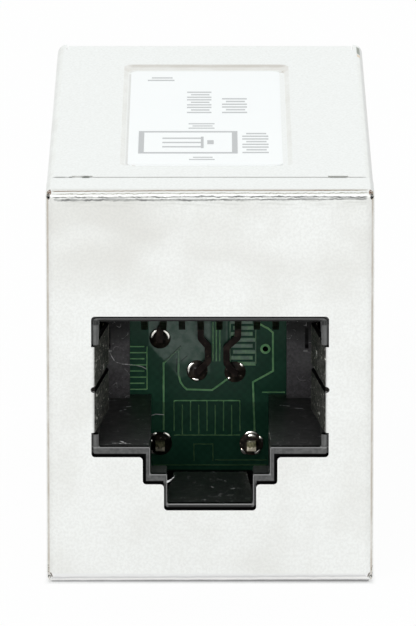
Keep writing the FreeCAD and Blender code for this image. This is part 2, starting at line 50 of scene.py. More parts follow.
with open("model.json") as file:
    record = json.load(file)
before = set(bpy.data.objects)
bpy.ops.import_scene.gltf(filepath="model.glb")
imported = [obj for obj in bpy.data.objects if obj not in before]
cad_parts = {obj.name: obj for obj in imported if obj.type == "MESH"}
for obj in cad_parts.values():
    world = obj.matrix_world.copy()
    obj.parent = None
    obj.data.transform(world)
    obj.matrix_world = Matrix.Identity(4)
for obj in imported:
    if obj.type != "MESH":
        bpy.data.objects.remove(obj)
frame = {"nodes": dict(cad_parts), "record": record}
cad_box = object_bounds()

# Camera: fitted to the corners of the body in the photograph
CAMERA_PLACE = (-0.11, -511.3, 120.74)
CAMERA_PITCH = 12.199
CAMERA_LENS = 541.4
SENSOR = 36.0

# Lamps: place, target, size and power
KEY_LAMP = ((-120, -260, 260), (0, 0, 10), (160, 120), 0.2)
GLINT_LAMP = ((-70, -260, 66), (0, -8, 6), (26, 26), 0.34)

# Floor: half its size, how white it shows to the camera far off and at the object's foot, how
# far the foot's shade reaches, and how white the floor is in reflections
FLOOR_REACH = 3000
WHITE_SHARE = 0.94
SHADOW_SHARE = 0.3
SHADOW_REACH = 0.3
MIRROR_SHARE = 0.45

# Studio: its bright light, its dimmer sides, and how far to the side they begin and end
SKY_BRIGHT = (0.96, 0.98, 0.975)
SKY_DIM = (0.58, 0.58, 0.57)
SKY_SIDES = (0.6, 0.98)

# The colour sockets of a Mix node
MIX_FIRST = 6
MIX_SECOND = 7
MIX_RESULT = 2

# Shell: half its width and length and its top, and the bends' radius
HALF_WIDTH = cad_box[1].x / MM
HALF_LENGTH = cad_box[1].y / MM
TOP = cad_box[1].z / MM
FOLD = 0.55

# Front cap: where its flanges end, and spots of painted shade in that seam as (x from, x to,
# strength)
SEAM = 3.78
SEAM_SPOTS = [(-6.85, -6.45, 1.0), (6.4, 7.3, 0.6), (-7.55, -7.35, 0.4), (-8.45, -7.75, 0.25)]

# On the top's right edge near the rear: a gap's painted shade, then a brown mark, as (y from, y to,
# colour)
CORNER_MARKS = [(18.7, 20.8, (0.3, 0.32, 0.28)), (17.8, 18.5, (0.8, 0.66, 0.52))]

# Lines along the front's top bend, three of painted reflection and a brown one: how far each
# faces up, from the left edge to the right one
LOW_STREAK = (0.225, 0.235, 0.225, 0.26, 0.325)
HIGH_STREAK = (0.42, 0.43, 0.5, 0.5, 0.47)
FAINT_STREAK = (0.66, 0.73, 0.78, 0.755, 0.83)
BROWN_STREAK = (0.91, 0.93, 0.965, 0.968, 0.995)

# Painted light and shade of the front's bottom bend, by how far it faces down
LOW_BEND = [
    (0.0, 0.9), (0.26, 0.88), (0.37, 0.74), (0.46, 0.7), (0.52, 0.92),
    (0.58, (1.0, 0.99, 0.96, 1.0)), (0.66, 0.98), (0.73, 0.8), (0.81, 0.46),
    (0.9, 0.34), (1.0, 0.38),
]

# Opening in the face: the hole's half width and heights, the same for the grounding leaves, and
# where the leaves' slits end
OPENING = (6.5, 3.9, 14.8)
LEAF_ZONE = (6.9, 7.9, 13.3)
SLIT_END = (6.22, 10.6)

# Beside the leaves' ends: dark slots of painted shade and spots of painted highlight, as
# (x from, x to, softness)
LEAF_SLOTS = [(5.18, 5.38, 0.03), (-5.53, -5.43, 0.03)]
LEAF_SPOTS = [(5.1, 5.32, 0.04), (-5.5, -5.36, 0.03)]

# Housing: half the cavity's width, its roof, the floor of the latch slot, and the wall beside
# the board as its depth in the socket and the heights of its palest band of painted light
CAVITY = (5.95, 14.32)
SLOT_FLOOR = 4.33
END_WALL = (HALF_LENGTH - 9.2, 7.5, 10.6)

# The mouth's steps, from the latch slot up, as level and half width: the hole and the rim round it
MOUTH = [(4.33, 2.3), (5.95, 3.21), (7.44, 9.0)]
RIM = [(4.11, 2.56), (5.54, 3.49), (7.03, 9.0)]

# Dust: the half width of a hair, and places of hair on the end wall and the board as (x, z);
# and the half width and places of pale scratches and painted glints on the ledges as (x, depth)
HAIR = 0.022
LEDGE_SCRATCH_GLINT = 0.07
WALL_HAIR = [(-5.52, 10.07), (-5.35, 9.73), (-5.18, 9.46), (-4.81, 9.34), (-4.35, 9.31)]
BOARD_HAIRS = [
    [(-4.36, 9.11), (-4.05, 9.07), (-3.72, 8.99), (-3.48, 8.86)],
    [(-3.25, 6.24), (-3.0, 6.32), (-2.54, 6.3)],
]
LEDGE_SCRATCH_GLINTS = [
    [(-4.88, 8.9), (-4.6, 9.3)], [(-4.65, 9.85), (-4.33, 10.05)], [(-5.17, 1.1), (-4.3, 1.0)],
    [(-4.8, 1.6), (-4.48, 1.05)], [(3.85, 10.3), (4.3, 10.1)], [(4.6, 9.6), (5.0, 9.5)],
]

# Sliver of moulding flash at the latch slot's left corner: places (x, z), depth, and half width
# at its ends and what that gains in its middle
FLASH = [
    (-2.5, 5.72), (-2.47, 5.6), (-2.38, 5.54), (-2.25, 5.54),
    (-2.12, 5.61), (-2.0, 5.71), (-1.91, 5.82), (-1.86, 5.92),
]
FLASH_DEPTH = 0.2
FLASH_END = 0.028
FLASH_SWELL = 0.05

# Dark lines within the painted sheen on the board
SHEEN_ZONE_LINES = [
    [(-1.61, 10.15), (-2.5, 9.27)], [(-1.26, 9.59), (-1.59, 9.3)], [(-1.83, 9.42), (-1.83, 8.7)],
]

# Front board: its face, and the copper under its green mask, as places (x, z) on that face
BOARD_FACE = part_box("front_board")[0].y / MM
COPPER = 0.03
TRACE = 0.1
WIDE_TRACE = 0.14
BROAD_TRACE = 0.25
COUPLING_LOOP = [
    (-1.72, 9.98), (-1.72, 8.56), (-1.63, 8.16), (-1.44, 7.87),
    (-1.27, 7.72), (0.11, 7.68), (1.04, 8.36),
]
RIGHT_FEED = [(2.5, 11.5), (3.2, 11.12), (3.44, 10.9), (3.45, 8.75), (2.35, 8.13), (2.45, 5.3)]
LEFT_FEED = [(-2.54, 5.44), (-2.54, 9.2), (-1.61, 10.1)]
CENTRE_LINES = [(0.16, 0.34, 0.54), (11.5, 9.3)]
LOW_BOX = [(-0.88, 3.7), (-0.88, 4.65), (0.16, 4.65), (0.16, 3.7)]
RIGHT_LINE = [(2.85, 7.56), (4.1, 7.56)]
LOW_LINES = [[(0.27, 3.75), (3.1, 3.75)], [(-3.1, 3.47), (3.1, 3.47)]]

# A plated hole's place and radii, and combs of copper fingers as their two corners, the number
# of fingers, whether they stand upright, and their width; the gap at a finger's tip is a share
# of the comb's length
COMB_GAP = 0.12
VIA = ((3.03, 9.99), 0.15, 0.3)
COMBS = [
    ((-1.97, 5.15), (1.64, 7.09), 9, True, TRACE),
    ((1.1, 9.16), (2.5, 11.5), 8, False, BROAD_TRACE),
    ((-4.6, 7.72), (-3.45, 10.12), 8, False, TRACE),
]

# The board's glass cloth, and the heights between which painted shade darkens its mask downwards
CLOTH_PITCH = 0.5
UPPER_SHADE = (6.95, 7.08)
LOWER_SHADE = (4.8, 5.3)
LOWEST_SHADE = (3.1, 3.3)

# Painted sheen on the mask, where it is also glossier: its lower left edge, as x plus z, and
# its lower and left limits
SHEEN_ZONE = (6.8, 8.5, -3.4)

# Solder: the tails' places on the board, and round which angles, and at which share of its
# radius, each joint has a bright bead
PITCH = 1.016
TAILS = {
    1: (-3.5 * PITCH, 13.4),
    2: (-2.5 * PITCH - 0.2, 10.59),
    3: (-1.5 * PITCH, 13.4),
    4: (-0.5 * PITCH - 0.2, 8.77),
    5: (0.5 * PITCH, 13.4),
    6: (1.5 * PITCH - 0.15, 8.7),
    7: (2.5 * PITCH, 13.4),
    8: (3.5 * PITCH, 12.35),
}
BEADS = {
    2: [(98, 180, 0.79), (-8, 72, 0.8)],
    4: [(108, 200, 0.8), (240, 282, 0.84)],
    6: [(32, 62, 0.88), (215, 238, 0.8)],
}
PIN_BEADS = {
    1: [(106, 140, 0.93), (20, 76, 0.94), (152, 172, 0.8), (214, 240, 0.93)],
    2: [(56, 126, 0.93), (52, 116, 0.7), (8, 42, 0.9), (204, 246, 0.93), (286, 326, 0.85)],
}
COMMON_BEADS = [(100, 175, 0.9), (20, 60, 0.9), (205, 240, 0.9)]
TAIL_SOLDER = (0.59, 0.28)
PIN_SOLDER = (0.66, 0.42)
PINS = 8

# A joint's profile, as shares of its radius and height
DOME_PROFILE = [
    (1.0, -0.06), (0.98, 0.1), (0.92, 0.24), (0.72, 0.4), (0.55, 0.68), (0.35, 0.92), (0.12, 1.0),
]

# A bead's half width at its ends, what it gains in its middle as a share of the joint's radius,
# how high it lies, how flat it is, and the corners of its section
BEAD_END = 0.02
BEAD_SWELL = 0.15
BEAD_RISE = 1.15
BEAD_FLATNESS = 0.22
SECTION = 8

# Label's plain pattern, as (x from, x to, depth from, depth to) on the top: a plug sign in a
# frame, its parts measured from the frame's corner, and groups of ticks with their number
INK = 0.008
SIGN_FRAME = (-3.9, 1.5, 10.7, 17.0)
LONG_BAR = 0.38
END_BAR = 0.3
SIGN_PARTS = [
    (1.3, 3.4, 1.7, 2.04), (1.3, 3.4, 2.9, 3.24), (1.3, 3.4, 4.1, 4.44),
    (3.4, 3.55, 1.5, 4.7), (3.75, 4.1, 2.6, 3.7),
]
TICK_INSET = 0.22
TICK_SHARE = 0.42
TICKS = [
    (-1.28, 0.08, 22.2, 28.9, 9), (0.67, 2.06, 22.2, 27.0, 6), (1.76, 3.19, 10.8, 16.9, 8),
    (-1.18, 0.25, 17.7, 19.6, 3), (-1.14, 0.25, 8.9, 10.1, 2), (-3.5, -2.0, 31.7, 33.2, 2),
]


# Node graphs

class Nodes:
    """A node tree, written as plain calls."""

    def __init__(self, tree):
        self.tree = tree

    def node(self, kind, inputs=(), **settings):
        made = self.tree.nodes.new(kind)
        for key, value in settings.items():
            setattr(made, key, value)
        for key, value in dict(inputs).items():
            self.put(made.inputs[key], value)
        return made

    def put(self, socket, value):
        if isinstance(value, bpy.types.NodeSocket):
            self.tree.links.new(value, socket)
        else:
            socket.default_value = value

    def math(self, operation, first, second=0.0, third=0.0):
        made = self.tree.nodes.new("ShaderNodeMath")
        made.operation = operation
        for socket, value in zip(made.inputs, (first, second, third)):
            self.put(socket, value)
        return made.outputs[0]

    def linear(self, value, factor, offset):
        return self.math("MULTIPLY_ADD", value, factor, offset)

    def chain(self, operation, values):
        result = values[0]
        for value in values[1:]:
            result = self.math(operation, result, value)
        return result

    def both(self, *values):
        """All the masks at once, or a value times another."""
        return self.chain("MULTIPLY", values)

    def either(self, *values):
        """The strongest of the masks."""
        return self.chain("MAXIMUM", values)

    def away_from(self, x, z, place_x, place_z):
        """How far x and z lie from a place."""
        off = [self.math("SUBTRACT", x, place_x), self.math("SUBTRACT", z, place_z)]
        return self.math("SQRT", self.math("ADD", *(self.both(gap, gap) for gap in off)))

    def step(self, value, low, high, start=0.0, end=1.0):
        """The value mapped smoothly from low..high to start..end."""
        inputs = {"Value": value, "From Min": low, "From Max": high, "To Min": start, "To Max": end}
        return self.node("ShaderNodeMapRange", inputs, interpolation_type="SMOOTHSTEP").outputs[0]

    def parts(self, vector):
        return self.node("ShaderNodeSeparateXYZ", {0: vector}).outputs

    def joined(self, x, y, z):
        return self.node("ShaderNodeCombineXYZ", {0: x, 1: y, 2: z}).outputs[0]

    def mix(self, factor, first, second):
        made = self.node("ShaderNodeMix", {"Factor": factor}, data_type="RGBA")
        self.put(made.inputs[MIX_FIRST], first)
        self.put(made.inputs[MIX_SECOND], second)
        return made.outputs[MIX_RESULT]

    def paint(self, base, mask, tone, strength):
        """The base with a tone laid over it where the mask is, at the given strength."""
        return self.mix(self.both(mask, strength), base, tone)

    def ramp(self, value, stops):
        made = self.node("ShaderNodeValToRGB", {"Fac": value})
        points = made.color_ramp.elements
        while len(points) < len(stops):
            points.new(1.0)
        for point, (place, shade) in zip(points, stops):
            point.position = place
            point.color = grey(shade) if isinstance(shade, float) else shade
        return made.outputs["Color"]


class Graph(Nodes):
    """A material's nodes."""

    def __init__(self, name):
        self.material = bpy.data.materials.new(name)
        self.material.use_nodes = True
        super().__init__(self.material.node_tree)
        self.shader = self.tree.nodes["Principled BSDF"]
        self.place = self.tree.nodes.new("ShaderNodeTexCoord").outputs["Object"]

    def set(self, name, value):
        self.put(self.shader.inputs[name], value)

    def roughen(self, pattern, low, high):
        self.set("Roughness", self.step(pattern, 0.3, 0.7, low, high))

    def scaled(self, scale):
        """The object's place in millimetres, stretched by one factor or by three."""
        factors = scale if isinstance(scale, tuple) else (scale,) * 3
        inputs = {0: self.place, 1: tuple(factor / MM for factor in factors)}
        return self.node("ShaderNodeVectorMath", inputs, operation="MULTIPLY").outputs[0]

    def places(self):
        """The object's x, y and z in millimetres."""
        return self.parts(self.scaled(1))[:3]

    def normals(self):
        """How far the surface faces along x, y and z."""
        return self.parts(self.node("ShaderNodeNewGeometry").outputs["Normal"])[:3]

    def measures(self):
        """Where a point lies, and which way its surface faces.

        Inset, down and inward count from the nearer side, from the top and from the nearer
        socket's face, and depth counts from the front.
        """
        x, y, z = self.places()
        right, away, up = self.normals()
        wide = self.math("ABSOLUTE", x)
        return SimpleNamespace(
            x=x, y=y, z=z, wide=wide, right=right, up=up,
            inset=self.math("SUBTRACT", HALF_WIDTH, wide),
            down=self.math("SUBTRACT", TOP, z),
            inward=self.math("SUBTRACT", HALF_LENGTH, self.math("ABSOLUTE", y)),
            depth=self.math("ADD", y, HALF_LENGTH),
            front=front_half(self, y),
            ahead=self.both(away, -1.0),
            sideways=self.math("ABSOLUTE", right),
            lengthwise=self.math("ABSOLUTE", away),
        )

    def noise(self, scale=1, detail=4.0, rough=0.55, vector=None):
        source = self.scaled(scale) if vector is None else vector
        inputs = {"Vector": source, "Scale": 1.0, "Detail": detail, "Roughness": rough}
        return self.node("ShaderNodeTexNoise", inputs).outputs["Fac"]

    def patches(self, scale, detail, low, high, start=0.0, end=1.0):
        """Noise cut into patches with soft edges."""
        return self.step(self.noise(scale, detail), low, high, start, end)

    def near_sharp_edge(self, radius, low, high):
        """How near a sharp edge a point lies."""
        eased = self.node("ShaderNodeBevel", {"Radius": radius * MM}, samples=4).outputs[0]
        plain = self.node("ShaderNodeNewGeometry").outputs["Normal"]
        match = self.node("ShaderNodeVectorMath", {0: eased, 1: plain}, operation="DOT_PRODUCT")
        return self.step(match.outputs["Value"], low, high)

    def bump(self, height, strength, distance):
        inputs = {"Height": height, "Strength": strength, "Distance": distance * MM}
        self.set("Normal", self.node("ShaderNodeBump", inputs).outputs[0])


def rgb(r, g, b):
    return (r, g, b, 1.0)


def grey(value):
    return rgb(value, value, value)


# Materials

def stretched(g, along, across, fast, slow, seed):
    """Noise in long marks: fast across them and slow along them."""
    place = g.joined(g.both(along, slow), g.both(across, fast), seed)
    return g.noise(vector=place, detail=3.0)


def band(g, value, low, high, soft):
    """A mask that is 1 between low and high, with soft edges."""
    return g.both(g.step(value, low - soft, low + soft), g.step(value, high + soft, high - soft))


def bands(g, value, limits):
    """A mask of several bands, each given by its two ends and the softness of its edges."""
    return g.either(*(band(g, value, *limit) for limit in limits))


def front_half(g, y):
    return g.step(y, 1.0, -1.0)


def broken_up(g):
    """Noise that breaks a drawn hair into pieces."""
    return g.patches(4, 2.0, 0.42, 0.55, 0.12, 1.0)


def course(g, along, heights):
    """A height that drifts from the left edge to the right one through the given values."""
    share = g.linear(along, 0.5 / HALF_WIDTH, 0.5)
    last = len(heights) - 1
    return g.ramp(share, [(i / last, height) for i, height in enumerate(heights)])


def streak(g, up, middle, half, soft):
    """A thin line round the given height of a bend."""
    return g.step(g.math("ABSOLUTE", g.math("SUBTRACT", up, middle)), half + soft, half - soft)


def drawn_line(g, across, upright, points, half):
    """A mask along a thin line through the given points."""
    drawn = []
    for (x0, z0), (x1, z1) in zip(points, points[1:]):
        dx, dz = x1 - x0, z1 - z0
        square = dx * dx + dz * dz
        off_x, off_z = g.math("SUBTRACT", across, x0), g.math("SUBTRACT", upright, z0)
        share = g.linear(off_x, dx / square, g.both(off_z, dz / square))
        share = g.node("ShaderNodeClamp", {"Value": share}).outputs[0]
        far = g.away_from(off_x, off_z, g.both(share, dx), g.both(share, dz))
        drawn.append(g.step(far, 1.4 * half, 0.6 * half))
    return g.either(*drawn)


def step_gap(g, wide, z, steps):
    """How far a point lies below or beside the mouth's stepped outline; negative inside it."""
    gaps = [
        g.math("MAXIMUM", g.math("SUBTRACT", level, z), g.math("SUBTRACT", wide, half))
        for level, half in steps
    ]
    return g.chain("MINIMUM", gaps)


def bend_reflections(g, at, base):
    """Painted reflections on the front's top bend, from the face (up 0) to the top panel (up 1)."""
    up, along = at.up, at.x
    slow = g.linear(stretched(g, along, up, 1.0, 0.9, 0.0), 0.1, -0.05)
    quick = g.linear(stretched(g, along, up, 3.0, 3.4, 7.0), 0.22, -0.11)
    drift = g.math("ADD", slow, quick)
    wavy = g.math("ADD", up, drift)
    calm = g.math("ADD", up, g.both(drift, 0.25))
    breaks = g.step(stretched(g, along, up, 4.0, 1.8, 3.0), 0.42, 0.62, 1.0, 0.6)
    dashes = g.step(stretched(g, along, up, 0.5, 1.1, 17.0), 0.4, 0.6)

    # painted highlights in bright bands, then dark lines of painted reflection
    fainter = g.both(band(g, wavy, 0.3, 0.4, 0.04), 0.4)
    bright = g.either(band(g, wavy, 0.56, 0.68, 0.04), fainter, band(g, calm, 0.83, 0.9, 0.03))
    base = g.mix(bright, base, grey(1.0))
    lines = [
        (LOW_STREAK, 0.08, 0.05, rgb(0.24, 0.24, 0.235)),
        (HIGH_STREAK, 0.06, 0.045, grey(0.15)),
        (FAINT_STREAK, 0.035, 0.035, rgb(0.36, 0.35, 0.29)),
    ]
    for heights, half, soft, tone in lines:
        line = streak(g, wavy, course(g, along, heights), half, soft)
        base = g.mix(g.both(line, breaks), base, tone)

    # short grey fields of painted reflection between the two dark lines, mostly near the ends
    patch = g.step(stretched(g, along, up, 0.5, 0.5, 11.0), 0.5, 0.6)
    ends = g.step(g.math("ABSOLUTE", along), 3.0, 7.0, 0.35, 1.0)
    filled = g.both(patch, ends, band(g, wavy, 0.24, 0.45, 0.04))
    base = g.paint(base, filled, grey(0.34), 0.75)

    # the brown line along the bend's upper end, with darker dashes, and its soft shade
    brown = g.mix(dashes, rgb(0.36, 0.31, 0.24), rgb(0.24, 0.155, 0.1))
    middle = course(g, along, BROWN_STREAK)
    shade = g.step(calm, 0.95, 1.0)
    base = g.paint(base, shade, rgb(0.7, 0.68, 0.64), 0.3)
    return g.mix(streak(g, calm, middle, 0.03, 0.02), base, brown)


def cap_bends(g, at, base):
    """Painted reflections, highlights and shade on the front cap's top and bottom bends."""
    front_top = g.both(
        g.step(at.down, 2 * FOLD, 1.5 * FOLD), g.step(at.depth, FOLD + 0.02, FOLD - 0.01),
        g.step(at.up, 0.004, 0.02), g.step(at.ahead, 0.01, 0.05), g.step(at.inset, 0.25, 0.55),
    )
    base = g.mix(front_top, base, bend_reflections(g, at, base))
    # painted shade on the face just under the top bend, broken up by noise
    shade_breakup = g.step(stretched(g, at.x, at.z, 9.0, 0.8, 5.0), 0.45, 0.62)
    near_bend = g.step(at.down, 1.9 * FOLD, FOLD)
    under_bend = g.both(near_bend, g.step(at.ahead, 0.9, 0.99), shade_breakup)
    base = g.paint(base, under_bend, rgb(0.66, 0.66, 0.63), 0.4)
    near_top = g.step(at.down, 0.1, 0.05)
    shaded = g.both(g.step(at.depth, 1.0, 0.5), g.step(at.up, 0.98, 0.999), near_top)
    base = g.paint(base, shaded, rgb(0.64, 0.62, 0.58), 0.4)

    # the bottom bend: a faint dark line, a painted highlight, then painted shade towards the floor
    low_bend = g.both(
        g.step(at.z, FOLD, 0.9 * FOLD), g.step(at.depth, FOLD, 0.9 * FOLD),
        g.step(at.ahead, 0.02, 0.1),
    )
    low = g.linear(at.x, 0.01, g.both(at.up, -1.0))
    ripple = g.linear(stretched(g, at.x, at.up, 2.0, 1.2, 23.0), 0.16, -0.08)
    low_bend_shading = g.ramp(g.math("ADD", low, ripple), LOW_BEND)
    return g.mix(low_bend, base, low_bend_shading)


def cap_corners(g, at, base):
    """Painted shade in the cap's open notches where its bends meet, and where the face turns."""
    at_front = g.step(at.depth, 0.7, 0.6)

    # the top corners: a hole and slit painted dark as painted shade, with a raw brownish ring
    hole = g.away_from(g.both(at.inset, 1.4), at.down, 0.196, 0.34)
    slit = g.both(band(g, at.inset, 0.11, 0.17, 0.02), band(g, at.down, 0.17, 0.34, 0.02))
    ring = g.away_from(at.inset, at.down, 0.19, 0.1)
    raw = g.both(g.step(ring, 0.14, 0.1), g.step(ring, 0.02, 0.06, 0.35, 1.0), at_front)
    base = g.paint(base, raw, rgb(0.22, 0.12, 0.08), 0.9)
    notch = g.both(g.either(g.step(hole, 0.15, 0.1), slit), at_front)
    base = g.mix(notch, base, rgb(0.03, 0.026, 0.022))

    # the bottom corners: a short slanting line and dark patches on the edge above it
    slant = g.math("ADD", at.inset, g.linear(at.z, 0.43, -0.44))
    on_slant = g.step(g.math("ABSOLUTE", slant), 0.06, 0.03)
    low_notch = g.both(on_slant, band(g, at.z, 0.34, 0.55, 0.05), at_front)
    base = g.paint(base, low_notch, rgb(0.13, 0.1, 0.07), 0.85)
    edge_patches = g.both(
        band(g, at.inset, 0.04, 0.13, 0.02), band(g, at.z, 0.45, 0.95, 0.04),
        g.patches((3, 3, 9), 2.0, 0.5, 0.58), at_front,
    )
    base = g.paint(base, edge_patches, rgb(0.1, 0.09, 0.08), 0.8)

    # a thin brownish line of painted shade where the face turns into the sides
    rim = g.both(
        band(g, at.inset, 0.06, 0.16, 0.03), g.step(at.ahead, 0.2, 0.4), at_front,
        g.step(stretched(g, at.z, at.x, 1.0, 0.6, 31.0), 0.3, 0.6, 0.35, 0.7),
    )
    return g.mix(rim, base, rgb(0.48, 0.41, 0.33))


def cap_seam(g, at, base):
    """A darker band behind the seam, painted shade in it over the tongues and in the sunken
    windows.
    """
    behind_seam = g.both(
        band(g, at.depth, SEAM + 0.1, SEAM + 0.3, 0.05), g.step(at.up, 0.9, 0.99),
        g.step(stretched(g, at.x, at.depth, 0.5, 0.35, 9.0), 0.35, 0.6, 0.3, 0.8),
    )
    base = g.paint(base, behind_seam, rgb(0.5, 0.48, 0.45), 0.4)
    # painted shade in the seam's gap over the tongues
    line = band(g, at.depth, SEAM - 0.12, SEAM + 0.3, 0.05)
    spots = g.either(*(
        g.both(band(g, at.x, low, high, 0.05), strength)
        for low, high, strength in SEAM_SPOTS
    ))
    base = g.mix(g.both(line, spots), base, rgb(0.07, 0.085, 0.07))
    # painted shade in the sunken windows over the tongues
    sunk_shade = g.both(
        g.step(at.down, 0.16, 0.22), g.step(at.down, 2.0, 1.9),
        band(g, at.depth, SEAM - 0.2, SEAM + 1.6, 0.05), g.step(at.inset, 0.6, 0.7),
    )
    return g.mix(sunk_shade, base, rgb(0.05, 0.047, 0.045))


def label_recess(g, at, base):
    """The recess: painted warm shade on its slopes and creases, and a painted shadow beside the
    label.
    """
    x, y = at.x, at.y
    low, high = (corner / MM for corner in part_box("label"))
    near = g.both(g.step(at.wide, 5.6, 5.5), g.step(at.down, 0.3, 0.25))
    # painted shade on the recess's slopes, stronger behind the label
    slope = g.both(near, g.step(at.up, 0.9999, 0.998), g.step(at.up, 0.7, 0.8))
    slope_mottle = g.step(g.noise(0.5), 0.3, 0.7, 0.5, 1.0)
    rear = g.step(y, high.y, high.y + 0.2, 0.4, 1.0)
    base = g.paint(base, g.both(slope, slope_mottle, rear), rgb(0.78, 0.75, 0.71), 0.8)
    # two creases of painted shade behind the label
    crease = g.both(
        near,
        bands(g, y, [(high.y - 0.05, high.y + 0.3, 0.12), (high.y + 1.2, high.y + 1.75, 0.15)]),
        band(g, x, low.x - 0.1, high.x + 0.3, 0.2), g.step(at.up, 0.97, 0.98), slope_mottle,
    )
    base = g.paint(base, crease, rgb(0.56, 0.52, 0.47), 0.55)
    # a painted shadow beside the label's left edge
    beside_left = band(g, x, low.x - 0.12, low.x + 0.02, 0.03)
    beside = g.both(beside_left, band(g, y, low.y, high.y - 0.6, 0.3), near)
    base = g.paint(base, beside, rgb(0.45, 0.42, 0.4), 0.28)
    spot = g.either(
        g.both(band(g, x, 3.95, 4.2, 0.06), band(g, y, high.y - 0.35, high.y + 0.4, 0.1)),
        g.both(band(g, x, -4.4, -4.05, 0.06), band(g, y, low.y - 0.5, low.y + 0.1, 0.1)),
    )
    ragged = g.patches((4, 2, 4), 3.0, 0.5, 0.6)
    return g.paint(base, g.both(spot, near, ragged, ragged), rgb(0.4, 0.3, 0.2), 0.5)


def clean_nickel(g, at, grain):
    """The plate's tones: cloudy, a painted reflection under the top bend, grained and a little
    peeled.
    """
    cloud = g.noise((0.35, 0.35, 0.3), detail=3.0)
    fair, warm = rgb(0.955, 0.965, 0.948), rgb(0.89, 0.893, 0.868)
    clean = g.mix(g.step(cloud, 0.35, 0.75), fair, warm)
    clean = g.mix(g.step(at.up, 0.9, 0.99), clean, rgb(0.955, 0.965, 0.955))
    # darker patches of painted reflection on the face under the top bend
    reflection_patches = g.both(
        g.patches((0.16, 0.16, 0.3), 1.5, 0.36, 0.68), g.step(at.down, 7.0, 2.5),
        g.step(at.ahead, 0.5, 0.9),
    )
    clean = g.paint(clean, reflection_patches, rgb(0.79, 0.78, 0.745), 0.8)
    base = g.mix(g.step(grain, 0.3, 0.75, 0.0, 0.14), clean, rgb(0.76, 0.75, 0.73))
    peel = g.both(g.patches(7, 2.0, 0.38, 0.62), g.step(at.up, 0.5, 0.9, 0.18, 0.17))
    return g.mix(peel, base, rgb(0.7, 0.7, 0.68))


def top_edges(g, at, base):
    """Lines of painted shade along the top's long edges, and marks near its right rear corner."""
    # painted shade on the rounded long edges, stronger on the right
    top_edge = g.both(
        band(g, at.inset, 0.0, 0.2, 0.05), g.step(at.up, 0.2, 0.4), g.step(at.down, 0.6, 0.5),
        g.step(at.x, 0.0, 1.0, 0.12, 0.42),
    )
    base = g.mix(top_edge, base, grey(0.5))
    # near the right rear corner: a gap's painted shade, then a brown mark
    near_edge = band(g, at.x, HALF_WIDTH - 0.34, HALF_WIDTH - 0.16, 0.04)
    corner = g.both(near_edge, g.step(at.down, 0.5, 0.4))
    for low, high, tone in CORNER_MARKS:
        base = g.mix(g.both(corner, band(g, at.y, low, high, 0.2)), base, rgb(*tone))
    return base


def opening_shade(g, at, base):
    """Shade on the cut walls of the opening and where the leaves' slits end."""
    cut_wall = g.both(
        g.step(at.wide, OPENING[0] + 0.02, OPENING[0]),
        band(g, at.z, OPENING[1], OPENING[2], 0.02), g.step(at.inward, 0.02, 0.04),
        g.step(at.lengthwise, 0.35, 0.2),
    )
    base = g.mix(cut_wall, base, grey(0.03))
    slit_end = g.away_from(at.wide, at.z, *SLIT_END)
    at_face = g.step(at.inward, 0.35, 0.3)
    hook = g.both(g.step(slit_end, 0.17, 0.13), at_face)
    return g.mix(hook, base, rgb(0.022, 0.02, 0.018))


def leaf_tones(g, at):
    """The mask and the tone of the leaves in the opening: painted dark reflection and glints."""
    leaf = g.both(
        g.step(at.wide, LEAF_ZONE[0] + 0.02, LEAF_ZONE[0]),
        band(g, at.z, LEAF_ZONE[1], LEAF_ZONE[2], 0.02), g.step(at.inward, 0.02, 0.06),
        g.step(at.sideways, 0.66, 0.85),
    )
    # the leaves' plated metal painted dark as painted reflection of the dark cavity, mottled
    leaf_mottle = g.step(g.noise((5, 2.0, 5), rough=0.65), 0.42, 0.64)
    brown = g.mix(leaf_mottle, rgb(0.024, 0.0235, 0.021), rgb(0.15, 0.147, 0.132))
    # pale flecks of painted glints
    fleck = g.either(
        g.step(g.noise((6, 2.4, 8), detail=3.0, rough=0.7), 0.65, 0.67),
        g.patches((3.2, 1.4, 3.2), 2.0, 0.67, 0.69),
    )
    brown = g.mix(fleck, brown, rgb(1.0, 0.98, 0.9))
    # a painted glint along the leaves' crest
    crest_glint = g.both(
        band(g, at.inward, 5.85, 6.2, 0.05), g.step(at.z, 9.6, 11.4, 0.15, 1.0),
        g.step(g.noise((2, 2, 1)), 0.35, 0.5),
    )
    return leaf, g.mix(crest_glint, brown, rgb(0.9, 0.86, 0.75))


def nickel_sheet():
    """Satin nickel: grain, cloudy marks, painted light on the streaked front bend and cut edges."""
    g = Graph("nickel_sheet")
    at = g.measures()
    grain = g.noise(7, rough=0.65)
    base = top_edges(g, at, clean_nickel(g, at, grain))
    # painted highlights along sharp edges
    base = g.mix(g.near_sharp_edge(0.09, 0.995, 0.85), base, rgb(1.0, 1.0, 0.99))
    for marks in (cap_bends, cap_corners, cap_seam, label_recess, opening_shade):
        base = marks(g, at, base)
    leaf, brown = leaf_tones(g, at)
    g.set("Base Color", g.mix(leaf, base, brown))
    g.set("Metallic", g.step(leaf, 0.0, 1.0, 1.0, 0.15))
    rough = g.step(grain, 0.2, 0.8, 0.36, 0.5)
    g.set("Roughness", g.math("ADD", rough, g.both(leaf, 0.12)))
    pitted = g.both(leaf, g.noise((2.5, 1.5, 2.5), detail=5.0))
    g.bump(g.math("ADD", grain, pitted), 0.16, 0.02)
    return g.material


def rim_mask(g, at):
    """The rim round the socket's mouth."""
    return g.step(at.inward, 0.45, 0.4)


def level_mask(g, at):
    """Faces that look up, above the latch slot."""
    return g.both(g.step(at.up, 0.8, 0.95), g.step(at.z, SLOT_FLOOR + 0.3, SLOT_FLOOR + 0.5))


def facing_mask(g, at):
    """Faces that look along the part."""
    return g.step(at.lengthwise, 0.8, 0.95)


def end_wall_mask(g, at):
    """The walls beside the board, at the end of the socket."""
    return g.both(facing_mask(g, at), g.step(at.inward, END_WALL[0] - 0.3, END_WALL[0] - 0.2))


